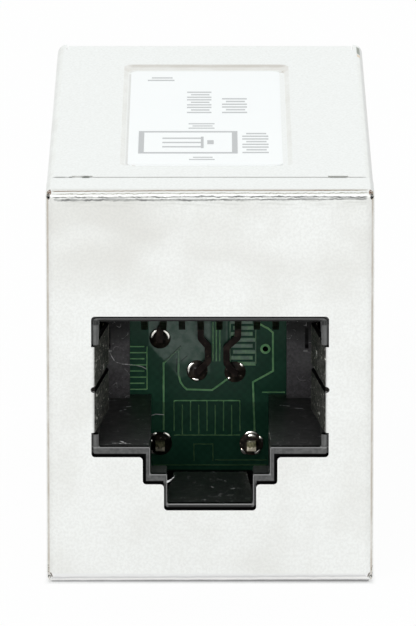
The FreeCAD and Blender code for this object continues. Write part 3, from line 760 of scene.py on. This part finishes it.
def wall_light_and_dust(g, at, body, wear):
    """Painted light on the walls and ledges by which way they face, dust on the ledges, and pits.
    """
    # upright walls painted paler as painted light
    upright = g.step(at.sideways, 0.8, 0.95)
    body = g.paint(body, upright, grey(0.06), 0.8)
    # the side walls' upper part painted much paler as painted light
    at_wall = g.step(at.wide, CAVITY[0] - 0.1, CAVITY[0] - 0.05)
    high_side = g.both(upright, at_wall, g.step(at.z, 12.9, 13.0))
    body = g.mix(high_side, body, grey(0.45))
    # upward faces paler: dust and painted light
    body = g.paint(body, level_mask(g, at), grey(0.062), 0.85)
    # pocket walls beside the leaves painted paler in patches as painted light
    past_wall = g.step(at.wide, CAVITY[0] + 0.15, CAVITY[0] + 0.2)
    pocket = g.both(past_wall, g.step(at.inward, 0.5, 0.6))
    pocket_light = g.step(g.noise((4, 1.0, 4), rough=0.7), 0.45, 0.65, 0.08, 0.6)
    body = g.mix(pocket, body, g.joined(pocket_light, pocket_light, pocket_light))
    # the walls beside the board: a painted tone, and a band of painted light at mid height
    end_wall = end_wall_mask(g, at)
    body = g.paint(body, end_wall, grey(0.036), 0.6)
    palest = band(g, at.z, END_WALL[1], END_WALL[2], 0.25)
    lit_wall = g.both(end_wall, palest, g.step(wear, 0.2, 0.8, 0.75, 1.0))
    body = g.mix(lit_wall, body, rgb(0.15, 0.138, 0.15))
    pitted = g.patches(8, 2.0, 0.35, 0.65, 0.42, 0.0)
    return g.mix(pitted, body, grey(0.0))


def rim_tones(g, at, body, wear):
    """The rim round the mouth: painted reflection grey, greyest at its sides, highlit on its upper
    run.
    """
    rim = rim_mask(g, at)
    # the rim in painted reflection grey
    body = g.paint(body, rim, grey(0.05), 0.7)
    # greyer still at its sides, as more painted reflection
    rim_side = g.both(
        rim, g.step(at.wide, CAVITY[0] - 0.15, CAVITY[0] - 0.05),
        g.step(at.z, CAVITY[1] + 0.3, CAVITY[1]), g.step(wear, 0.35, 0.65, 0.6, 1.0),
    )
    body = g.mix(rim_side, body, grey(0.13))
    # a painted highlight line on the rim above the roof, and a line of painted shade at the roof's
    # edge
    for low, high, tone in ((0.16, 0.27, 0.22), (-0.2, 0.08, 0.012)):
        line = g.both(rim, band(g, at.z, CAVITY[1] + low, CAVITY[1] + high, 0.03))
        body = g.mix(line, body, grey(tone))
    return body


def stepped_rim(g, at, body):
    """The rim's lower run, from a painted highlight at the hole to black painted shadow, and the
    black's mask.
    """
    inner, outer = step_gap(g, at.wide, at.z, MOUTH), step_gap(g, at.wide, at.z, RIM)
    lower_run = g.step(at.z, CAVITY[1] - 6.7, CAVITY[1] - 6.8)
    below = g.both(rim_mask(g, at), lower_run, g.step(at.up, 0.9, 0.8))
    slot_level, slot_half = MOUTH[0]
    lip = g.both(
        g.step(at.wide, slot_half - 0.05, slot_half - 0.1),
        g.step(at.z, slot_level + 0.08, slot_level + 0.04),
    )
    # the lower run's faces in painted reflection grey, black along the slot's lip
    flat = g.mix(g.patches(5, 3.0, 0.35, 0.65), grey(0.06), grey(0.1))
    flat = g.mix(lip, flat, grey(0.004))
    # a painted highlight line along the hole's edge
    bright_line = band(g, inner, -0.03, 0.05, 0.025)
    flat = g.mix(bright_line, flat, g.mix(lip, grey(0.22), grey(0.29)))
    body = g.mix(below, body, flat)
    # black painted shadow in the gap next to the sheet
    edge = g.both(below, g.step(outer, -0.1, -0.05))
    past_rim = g.step(at.inward, 0.6, 0.5)
    black = g.either(edge, g.both(past_rim, g.step(at.up, 0.85, 0.95)))
    return g.mix(black, body, grey(0.002)), black


def leaf_end_marks(g, at, body):
    """At each leaf's end a slot of painted shade, a painted highlight spot and sheen, and the matt
    mask.
    """
    end_wall = end_wall_mask(g, at)
    front_wall = g.both(end_wall, at.front)
    # a dark slot of painted shade
    slot = g.both(
        front_wall, bands(g, at.x, LEAF_SLOTS), band(g, at.z, 10.2, 11.4, 0.08),
        g.step(at.z, 10.35, 10.5, 1.0, 0.75),
    )
    # a spot of painted highlight
    spot = g.both(front_wall, band(g, at.z, 10.02, 10.12, 0.03), bands(g, at.x, LEAF_SPOTS))
    # a painted sheen below the leaves' ends
    sheen = g.both(end_wall, g.step(at.wide, 4.3, 5.3), band(g, at.z, 9.1, 10.0, 0.4))
    body = g.paint(body, sheen, grey(0.28), 0.35)
    body = g.mix(spot, body, grey(0.45))
    body = g.mix(slot, body, grey(0.004))
    dull = g.both(g.both(end_wall, g.step(at.z, 10.7, 11.4)), 0.6)
    return body, g.either(slot, dull)


def hairs_and_ledge_glints(g, at, body):
    """A pale hair on the front socket's end wall, and pale scratches and painted glints on its
    ledges.
    """
    on_wall = g.both(facing_mask(g, at), drawn_line(g, at.x, at.z, WALL_HAIR, HAIR))
    on_ledges = g.either(*(
        drawn_line(g, at.x, at.depth, points, LEDGE_SCRATCH_GLINT) for points in LEDGE_SCRATCH_GLINTS
    ))
    pale_marks = g.either(on_wall, g.both(level_mask(g, at), on_ledges))
    return g.mix(g.both(pale_marks, at.front, broken_up(g)), body, grey(1.0))


def black_moulding(name, tint, low_rough, high_rough):
    """Moulded plastic: a fine skin, painted light and shade, paler edges, hair scratches and
    specks.
    """
    g = Graph(name)
    at = g.measures()
    wear = g.noise(1.6, detail=6.0, rough=0.7)
    body = g.mix(g.step(wear, 0.4, 0.7), tint, rgb(*(c * 1.4 for c in tint[:3])))
    body = rim_tones(g, at, wall_light_and_dust(g, at, body, wear), wear)
    # paler sharp edges: wear and painted highlights
    body = g.mix(g.near_sharp_edge(0.08, 0.995, 0.85), body, grey(0.07))

    # scratches, and pale specks of dust and painted glints, but not on the rim or on faces that
    # look right
    hair = g.math("ABSOLUTE", g.math("SUBTRACT", g.noise(1.1, detail=1.5), 0.5))
    scratch = g.both(g.step(hair, 0.009, 0.003), g.step(g.noise(2.3), 0.5, 0.58))
    speck_and_glint = g.step(g.noise(6, detail=3.0, rough=0.8), 0.67, 0.71)
    inside = g.both(g.step(rim_mask(g, at), 1.0, 0.0), g.step(at.right, 0.5, 0.4))
    body = g.paint(body, g.both(g.either(speck_and_glint, scratch), inside), grey(0.5), 0.8)

    body, black = stepped_rim(g, at, body)
    body, matt = leaf_end_marks(g, at, body)
    g.set("Base Color", hairs_and_ledge_glints(g, at, body))
    g.set("Specular IOR Level", g.step(g.either(black, matt), 0.0, 1.0, 0.5, 0.02))
    g.roughen(wear, low_rough, high_rough)
    g.bump(g.noise(14, detail=2.0), 0.25, 0.01)
    return g.material


def solder_mask(name, low, high, sheen, limit, dim):
    """Green mask over glass cloth, from the low to the high tone, with painted shade downwards by
    dim.

    Over part of it, up to x = limit, lies a pale painted sheen, and there it is glossier.
    """
    g = Graph(name)
    x, y, z = g.places()
    warp = g.math("SINE", g.both(x, 2 * math.pi / CLOTH_PITCH))
    weft = g.math("SINE", g.both(z, 2 * math.pi / CLOTH_PITCH))
    weave = g.step(g.both(warp, weft), -1.0, 1.0)
    cloud = g.noise(0.7)
    shade = g.math("ADD", g.both(weave, 0.12), g.both(cloud, 0.88))
    base = g.mix(g.step(shade, 0.3, 0.7), low, high)
    ragged = g.linear(g.noise(1.4, detail=3.0), 0.6, -0.3)
    slanting = g.math("ADD", g.math("ADD", x, z), ragged)
    bottom = g.math("ADD", z, ragged)
    glossy_sheen = g.both(
        g.step(slanting, SHEEN_ZONE[0] - 0.1, SHEEN_ZONE[0] + 0.1),
        g.step(bottom, SHEEN_ZONE[1] - 0.1, SHEEN_ZONE[1] + 0.1), g.step(bottom, 9.1, 9.4, 0.5, 1.0),
        g.step(x, SHEEN_ZONE[2], SHEEN_ZONE[2] + 0.1), g.step(x, limit, limit - 0.1),
        g.math("SUBTRACT", 1.0, g.both(band(g, x, 0.0, 0.9, 0.08), 0.75)),
    )
    patchy = g.step(g.noise(1.7, rough=0.6), 0.32, 0.66, 0.45, 1.05)
    # the pale painted sheen, a painted reflection
    base = g.mix(g.both(glossy_sheen, patchy), base, sheen)
    lit = g.both(
        g.step(z, *UPPER_SHADE, dim, 1.0), g.step(z, *LOWER_SHADE, dim, 1.0),
        g.step(z, *LOWEST_SHADE),
    )
    base = g.mix(lit, grey(0.0), base)
    for points in SHEEN_ZONE_LINES:
        base = g.paint(base, drawn_line(g, x, z, points, 0.035), rgb(0.01, 0.03, 0.02), 0.6)
    shown = g.both(front_half(g, y), broken_up(g))
    for points in BOARD_HAIRS:
        base = g.mix(g.both(drawn_line(g, x, z, points, HAIR), shown), base, grey(0.9))
    g.set("Base Color", base)
    g.set("Specular IOR Level", g.step(g.both(glossy_sheen, patchy), 0.0, 1.0, 0.1, 0.5))
    g.roughen(cloud, 0.14, 0.28)
    g.bump(g.noise(1.4, detail=2.0), 0.08, 0.02)
    return g.material


def contact_wire():
    """Gold spring wire painted very dark brown as painted shade, with lighter spots."""
    g = Graph("contact_wire")
    wear = g.noise(2.5, detail=5.0)
    spot = g.patches(4, 3.0, 0.64, 0.72)
    # the gold is painted dark: painted shade inside the socket
    dark = g.mix(g.step(wear, 0.45, 0.7), rgb(0.013, 0.006, 0.004), rgb(0.036, 0.02, 0.013))
    g.set("Base Color", g.paint(dark, spot, rgb(0.2, 0.15, 0.1), 0.5))
    g.set("Metallic", 0.3)
    g.set("Specular IOR Level", 0.25)
    g.roughen(wear, 0.55, 0.38)
    g.bump(g.noise(6), 0.25, 0.02)
    return g.material


def bright_solder():
    """Solder: bright and a little wavy."""
    g = Graph("solder")
    ripple = g.noise(2.2, detail=3.0)
    g.set("Base Color", g.mix(ripple, rgb(0.97, 0.95, 0.9), rgb(0.8, 0.77, 0.7)))
    g.set("Metallic", 1.0)
    g.roughen(ripple, 0.12, 0.24)
    g.bump(ripple, 0.2, 0.04)
    return g.material


def flux_skin():
    """Dark, browned solder under burnt flux."""
    g = Graph("burnt_flux")
    patch = g.noise(2.6)
    fleck = g.patches(5, 3.0, 0.64, 0.7)
    dark = g.mix(g.step(patch, 0.4, 0.7), rgb(0.006, 0.005, 0.004), rgb(0.028, 0.021, 0.015))
    g.set("Base Color", g.paint(dark, fleck, rgb(0.3, 0.27, 0.22), 0.6))
    g.set("Specular IOR Level", 0.3)
    g.roughen(patch, 0.35, 0.55)
    g.bump(patch, 0.5, 0.05)
    return g.material


def tinned_pin():
    """Tin-plated square pin: slightly yellow, scratched along, with a painted highlight at its end.
    """
    g = Graph("tinned_pin")
    scratch = g.noise((9, 0.8, 9))
    away = g.normals()[1]
    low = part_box("link_pin_1")[0].z / MM
    height = g.math("ADD", g.places()[2], -0.1)
    ragged = g.linear(g.noise(6, detail=3.0), 0.2, height)
    facing = g.step(g.math("ABSOLUTE", away), 0.3, 0.6)
    # a painted highlight on the lower part of the pin's end
    end = g.both(facing, g.step(ragged, low + 0.27, low + 0.2))
    side = g.mix(g.step(scratch, 0.4, 0.6), rgb(0.3, 0.28, 0.17), rgb(0.15, 0.15, 0.08))
    g.set("Base Color", g.mix(end, side, rgb(1.0, 0.92, 0.72)))
    g.set("Metallic", 0.2)
    g.roughen(scratch, 0.3, 0.45)
    g.bump(scratch, 0.2, 0.02)
    return g.material


def pale_flash():
    """Thin plastic, pale in patches as painted highlight."""
    g = Graph("moulding_flash")
    flash_noise = g.noise(4, detail=3.0)
    g.set("Base Color", g.mix(g.step(flash_noise, 0.4, 0.6), grey(0.12), grey(0.75)))
    g.roughen(flash_noise, 0.15, 0.3)
    g.bump(flash_noise, 0.2, 0.01)
    return g.material


def label_film():
    """Matt white film with a faint surface tooth."""
    g = Graph("label_stock")
    tooth = g.noise(12, detail=3.0)
    cloud = g.noise(0.3)
    g.set("Base Color", g.mix(cloud, rgb(0.94, 0.955, 0.96), rgb(0.965, 0.98, 0.985)))
    g.roughen(tooth, 0.5, 0.65)
    g.bump(tooth, 0.1, 0.01)
    return g.material


def grey_print():
    """The ink of the label's plain pattern."""
    g = Graph("label_print")
    grain = g.noise(20, detail=3.0)
    dark, light = rgb(0.46, 0.47, 0.48), rgb(0.58, 0.59, 0.6)
    g.set("Base Color", g.mix(g.step(grain, 0.35, 0.65), dark, light))
    g.roughen(grain, 0.45, 0.6)
    return g.material


# Meshes

def placed(name, data):
    """A new object in the scene."""
    made = bpy.data.objects.new(name, data)
    bpy.context.scene.collection.objects.link(made)
    return made


def mesh_object(name, bm, material):
    mesh = bpy.data.meshes.new(name)
    bm.to_mesh(mesh)
    bm.free()
    mesh.materials.append(material)
    return placed(name, mesh)


def new_piece(name, bm, material):
    bmesh.ops.recalc_face_normals(bm, faces=bm.faces)
    piece = mesh_object(name, bm, material)
    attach(piece, "root")
    return piece


def on_board(x, z, rise):
    return Vector((x * MM, (BOARD_FACE - rise) * MM, z * MM))


def round_places(centre, radius, count):
    """Corners of a circle on the board's face."""
    turns = (2 * math.pi * i / count for i in range(count))
    return [(centre[0] + radius * math.cos(a), centre[1] + radius * math.sin(a)) for a in turns]


def add_skin(bm, rows, smooth):
    """Faces round a run of closed rows of corners, and a flat face at both ends."""
    for near, far in zip(rows, rows[1:]):
        for i in range(len(near)):
            j = (i + 1) % len(near)
            bm.faces.new((near[i], near[j], far[j], far[i])).smooth = smooth
    bm.faces.new(rows[0][::-1])
    bm.faces.new(rows[-1])


def sides_of(points, half):
    """The two edges of a flat line of the given half width, mitred where it turns."""
    edges = []
    for i, point in enumerate(points):
        here = Vector(point)
        before = Vector(points[i - 1]) if i else None
        after = Vector(points[i + 1]) if i + 1 < len(points) else None
        into = (here - before).normalized() if before else (after - here).normalized()
        out = (after - here).normalized() if after else into
        across = Vector((-into.y - out.y, into.x + out.x)).normalized()
        reach = half / max(0.4, across.dot(Vector((-into.y, into.x))))
        edges.append((here + across * reach, here - across * reach))
    return edges


def add_line(bm, points, width):
    """A raised copper line along the points, its top edges eased by a narrow slope."""
    outer = sides_of(points, width / 2)
    inner = sides_of(points, width / 2 - COPPER)
    rows = []
    for (l0, r0), (l1, r1) in zip(outer, inner):
        row = [(l0, -COPPER), (l1, COPPER), (r1, COPPER), (r0, -COPPER)]
        rows.append([bm.verts.new(on_board(place.x, place.y, rise)) for place, rise in row])
    add_skin(bm, rows, False)


def add_comb(bm, low, high, fingers, upright, width):
    """Two facing combs of copper fingers that pass between each other."""
    (x0, z0), (x1, z1) = low, high
    long0, long1 = (z0, z1) if upright else (x0, x1)
    wide0, wide1 = (x0, x1) if upright else (z0, z1)
    gap = (long1 - long0) * COMB_GAP

    def place(along, across):
        return (across, along) if upright else (along, across)

    add_line(bm, [place(long1, wide0), place(long1, wide1)], TRACE)
    add_line(bm, [place(long0, wide0), place(long0, wide1)], TRACE)
    for i in range(fingers):
        across = wide0 + (wide1 - wide0) * i / (fingers - 1)
        start, end = (long1, long0 + gap) if i % 2 == 0 else (long0, long1 - gap)
        add_line(bm, [place(start, across), place(end, across)], width)


def add_ring(bm, centre, inner, outer, count=32):
    """A flat copper ring round a hole, sunk a little into the board."""
    section = [(inner, -COPPER), (inner, COPPER), (outer - COPPER, COPPER), (outer, -COPPER)]
    loops = []
    for radius, rise in section:
        places = round_places(centre, radius, count)
        loops.append([bm.verts.new(on_board(x, z, rise)) for x, z in places])
    for first, second in zip(loops, loops[1:] + loops[:1]):
        for i in range(count):
            j = (i + 1) % count
            bm.faces.new((first[i], first[j], second[j], second[i]))


def board_piece(name, bm, material, rear):
    """A piece on a board's face: the front one, or the same turned to the rear socket."""
    if rear:
        bmesh.ops.transform(bm, matrix=Matrix.Rotation(math.pi, 4, "Z"), verts=bm.verts)
    return new_piece(name, bm, material)


def board_copper(name, material, rear):
    """All the copper lines on a board's face."""
    bm = bmesh.new()
    for points in (COUPLING_LOOP, RIGHT_FEED, LEFT_FEED):
        add_line(bm, points, WIDE_TRACE)
    for points in (LOW_BOX, RIGHT_LINE, *LOW_LINES):
        add_line(bm, points, TRACE)
    for x in CENTRE_LINES[0]:
        add_line(bm, [(x, z) for z in CENTRE_LINES[1]], TRACE)
    for comb in COMBS:
        add_comb(bm, *comb)
    add_ring(bm, *VIA)
    return board_piece(name, bm, material, rear)


def add_plate(bm, x0, x1, y0, y1, low, high):
    """A thin flat field of ink."""
    corners = [(x0, y0), (x1, y0), (x1, y1), (x0, y1)]
    rows = [[bm.verts.new(Vector((x, y, z)) * MM) for x, y in corners] for z in (low, high)]
    add_skin(bm, rows, False)


def label_pattern(material):
    """A framed plug sign and groups of short ticks on the label."""
    bm = bmesh.new()
    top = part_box("label")[1].z / MM
    low, high = top - INK / 2, top + INK

    def field(x0, x1, depth0, depth1):
        add_plate(bm, x0, x1, depth0 - HALF_LENGTH, depth1 - HALF_LENGTH, low, high)

    x0, x1, near, far = SIGN_FRAME
    field(x0, x1, near, near + LONG_BAR)
    field(x0, x1, far - LONG_BAR, far)
    field(x0, x0 + END_BAR, near + LONG_BAR, far - LONG_BAR)
    field(x1 - END_BAR, x1, near + LONG_BAR, far - LONG_BAR)
    for left, right, start, end in SIGN_PARTS:
        field(x0 + left, x0 + right, near + start, near + end)

    # every third tick is a little shorter
    for x0, x1, near, far, count in TICKS:
        pitch = (far - near) / count
        for i in range(count):
            inset = TICK_INSET if i % 3 == 1 else 0.0
            field(x0 + inset, x1 - inset / 2, near + pitch * i, near + pitch * (i + TICK_SHARE))
    new_piece("label_pattern", bm, material)


def add_dome(bm, centre, radius, height, count=28):
    """Low rounded solder round the joint's axis."""
    rows = []
    for share, rise in DOME_PROFILE:
        places = round_places(centre, share * radius, count)
        rows.append([bm.verts.new(on_board(x, z, rise * height)) for x, z in places])
    add_skin(bm, rows, True)


def section_turns():
    """The angles round a bead's or a sliver's section."""
    return [2 * math.pi * k / SECTION for k in range(SECTION)]


def add_bead(bm, centre, radius, height, start, end, share, count=20):
    """A bright rounded bead of solder that follows the joint's edge and thins out at both ends."""
    rows = []
    for i in range(count + 1):
        run = i / count
        angle = math.radians(start + (end - start) * run)
        half = BEAD_END + BEAD_SWELL * radius * math.sin(math.pi * run) ** 0.6
        row = []
        for turn in section_turns():
            reach = radius * share + half * math.cos(turn)
            x = centre[0] + reach * math.cos(angle)
            z = centre[1] + reach * math.sin(angle)
            rise = height * (BEAD_RISE - share) + BEAD_FLATNESS * half * math.sin(turn)
            row.append(bm.verts.new(on_board(x, z, rise)))
        rows.append(row)
    add_skin(bm, rows, True)


def moulding_flash(material):
    """A thin curved sliver of plastic left at a corner of the front latch slot."""
    bm = bmesh.new()
    rows = []
    for i, (x, z) in enumerate(FLASH):
        half = FLASH_END + FLASH_SWELL * math.sin(math.pi * i / (len(FLASH) - 1))
        middle = Vector((x, FLASH_DEPTH - HALF_LENGTH, z))
        row = []
        for turn in section_turns():
            across, along = half * math.cos(turn), half * math.sin(turn)
            row.append(bm.verts.new((middle + Vector((across / 2, along / 2, across))) * MM))
        rows.append(row)
    add_skin(bm, rows, True)
    new_piece("moulding_flash", bm, material)


def joint_places(rear):
    """Every solder joint of a board: centre, radius and height, and its beads."""
    joints = [(TAILS[n], TAIL_SOLDER, BEADS.get(n, COMMON_BEADS)) for n in TAILS]
    for n in range(1, PINS + 1):
        low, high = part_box(f"link_pin_{n}")
        middle = (low + high) / 2 / MM
        x = -middle.x if rear else middle.x
        joints.append(((x, middle.z), PIN_SOLDER, PIN_BEADS.get(n, COMMON_BEADS)))
    return joints


def solder_domes(name, material, rear):
    bm = bmesh.new()
    for centre, size, _ in joint_places(rear):
        add_dome(bm, centre, *size)
    return board_piece(name, bm, material, rear)


def solder_beads(name, material, rear):
    bm = bmesh.new()
    for centre, size, beads in joint_places(rear):
        for bead in beads:
            add_bead(bm, centre, *size, *bead)
    return board_piece(name, bm, material, rear)


# Dressing the solids

def dress_all():
    finishes = {
        "nickel_sheet": nickel_sheet(),
        "black_moulding": black_moulding("black_moulding", rgb(0.018, 0.017, 0.018), 0.3, 0.45),
        "carrier_moulding": black_moulding("carrier_moulding", grey(0.02), 0.45, 0.6),
        "contact_wire": contact_wire(),
        "tinned_pin": tinned_pin(),
        "board_laminate": solder_mask(
            "board_laminate",
            rgb(0.025, 0.1, 0.06), rgb(0.035, 0.138, 0.082), rgb(0.14, 0.26, 0.2),
            limit=1.0, dim=0.85,
        ),
        "solder": bright_solder(),
        "label_stock": label_film(),
    }
    for part in frame["record"]["subparts"]:
        materials = frame["nodes"][part["node"]].data.materials
        materials.clear()
        materials.append(finishes[part["material_slot"]])


# Stage, light and camera

def stage_floor():
    """A white floor: plain white to the camera, with the shadow kept close to the object."""
    bm = bmesh.new()
    bmesh.ops.create_grid(bm, x_segments=1, y_segments=1, size=FLOOR_REACH * MM)
    g = Graph("floor_white")
    tree = g.tree
    x, y = g.places()[:2]
    path = g.node("ShaderNodeLightPath").outputs
    gap = g.linear(y, -1.0, -HALF_LENGTH)
    ahead = g.step(gap, -0.02, SHADOW_REACH, SHADOW_SHARE, WHITE_SHARE)
    beside = g.step(g.math("ABSOLUTE", x), HALF_WIDTH - 0.3, HALF_WIDTH + 0.2)
    behind = g.step(y, HALF_LENGTH - 2.0, HALF_LENGTH - 1.0)
    clear = g.both(g.either(beside, behind), WHITE_SHARE)
    shown = g.both(g.either(ahead, clear), path["Is Camera Ray"])
    mirrored = g.both(path["Is Glossy Ray"], MIRROR_SHARE)
    matt = g.node("ShaderNodeBsdfDiffuse", {"Color": grey(0.92)})
    glow = g.node("ShaderNodeEmission")
    blend = g.node("ShaderNodeMixShader", {0: g.either(shown, mirrored)})
    tree.links.new(matt.outputs[0], blend.inputs[1])
    tree.links.new(glow.outputs[0], blend.inputs[2])
    tree.links.new(blend.outputs[0], tree.nodes["Material Output"].inputs["Surface"])
    tree.nodes.remove(g.shader)
    floor = mesh_object("floor", bm, g.material)


def sky():
    """White to the camera; for light and reflections a bright studio with darker sides."""
    world = bpy.data.worlds.new("studio")
    bpy.context.scene.world = world
    world.use_nodes = True
    g = Nodes(world.node_tree)
    g.tree.nodes.clear()
    ahead = g.node("ShaderNodeTexCoord").outputs["Generated"]
    side = g.step(g.math("ABSOLUTE", g.parts(ahead)[0]), *SKY_SIDES)
    light = g.mix(side, rgb(*SKY_BRIGHT), rgb(*SKY_DIM))
    seen = g.node("ShaderNodeLightPath").outputs["Is Camera Ray"]
    background = g.node("ShaderNodeBackground", {"Color": g.mix(seen, light, grey(1.0))})
    g.node("ShaderNodeOutputWorld", {"Surface": background.outputs[0]})


def area_light(name, place, target, size, power):
    data = bpy.data.lights.new(name, "AREA")
    data.shape = "RECTANGLE"
    data.size = size[0] * MM
    data.size_y = size[1] * MM
    data.energy = power
    light = placed(name, data)
    light.location = Vector(place) * MM
    light.rotation_euler = (Vector(target) - Vector(place)).to_track_quat("-Z", "Y").to_euler()
    return light


def glint_light(pieces):
    """A small lamp that only the solder and the pins take light from."""
    chosen = bpy.data.collections.new("glinting")
    for piece in pieces:
        chosen.objects.link(piece)
    area_light("glint", *GLINT_LAMP).light_linking.receiver_collection = chosen


def camera():
    data = bpy.data.cameras.new("camera")
    data.sensor_width = SENSOR
    data.lens = CAMERA_LENS
    data.clip_start = 0.01
    data.clip_end = 10.0
    eye = placed("camera", data)
    eye.location = Vector(CAMERA_PLACE) * MM
    eye.rotation_euler = (math.radians(90 - CAMERA_PITCH), 0, 0)
    bpy.context.scene.camera = eye


dress_all()
# copper's lighter green under the mask, raised further as painted highlight, with the same painted
# sheen
copper_mask = solder_mask(
    "copper_under_mask",
    rgb(0.27, 0.66, 0.3), rgb(0.48, 0.9, 0.44), rgb(0.2, 0.34, 0.26),
    limit=2.6, dim=0.5,
)
flux = flux_skin()
bead_solder = bright_solder()
soldered = [frame["nodes"][f"link_pin_{n}"] for n in range(1, PINS + 1)]
for end in ("front", "rear"):
    rear = end == "rear"
    board_copper(f"{end}_board_copper", copper_mask, rear)
    domes = solder_domes(f"{end}_solder_domes", flux, rear)
    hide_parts(f"{end}_solder")
    soldered += [domes, solder_beads(f"{end}_solder_beads", bead_solder, rear)]
label_pattern(grey_print())
moulding_flash(pale_flash())
stage_floor()
sky()
area_light("key", *KEY_LAMP)
glint_light(soldered)
camera()
bpy.context.scene.view_settings.view_transform = "Standard"
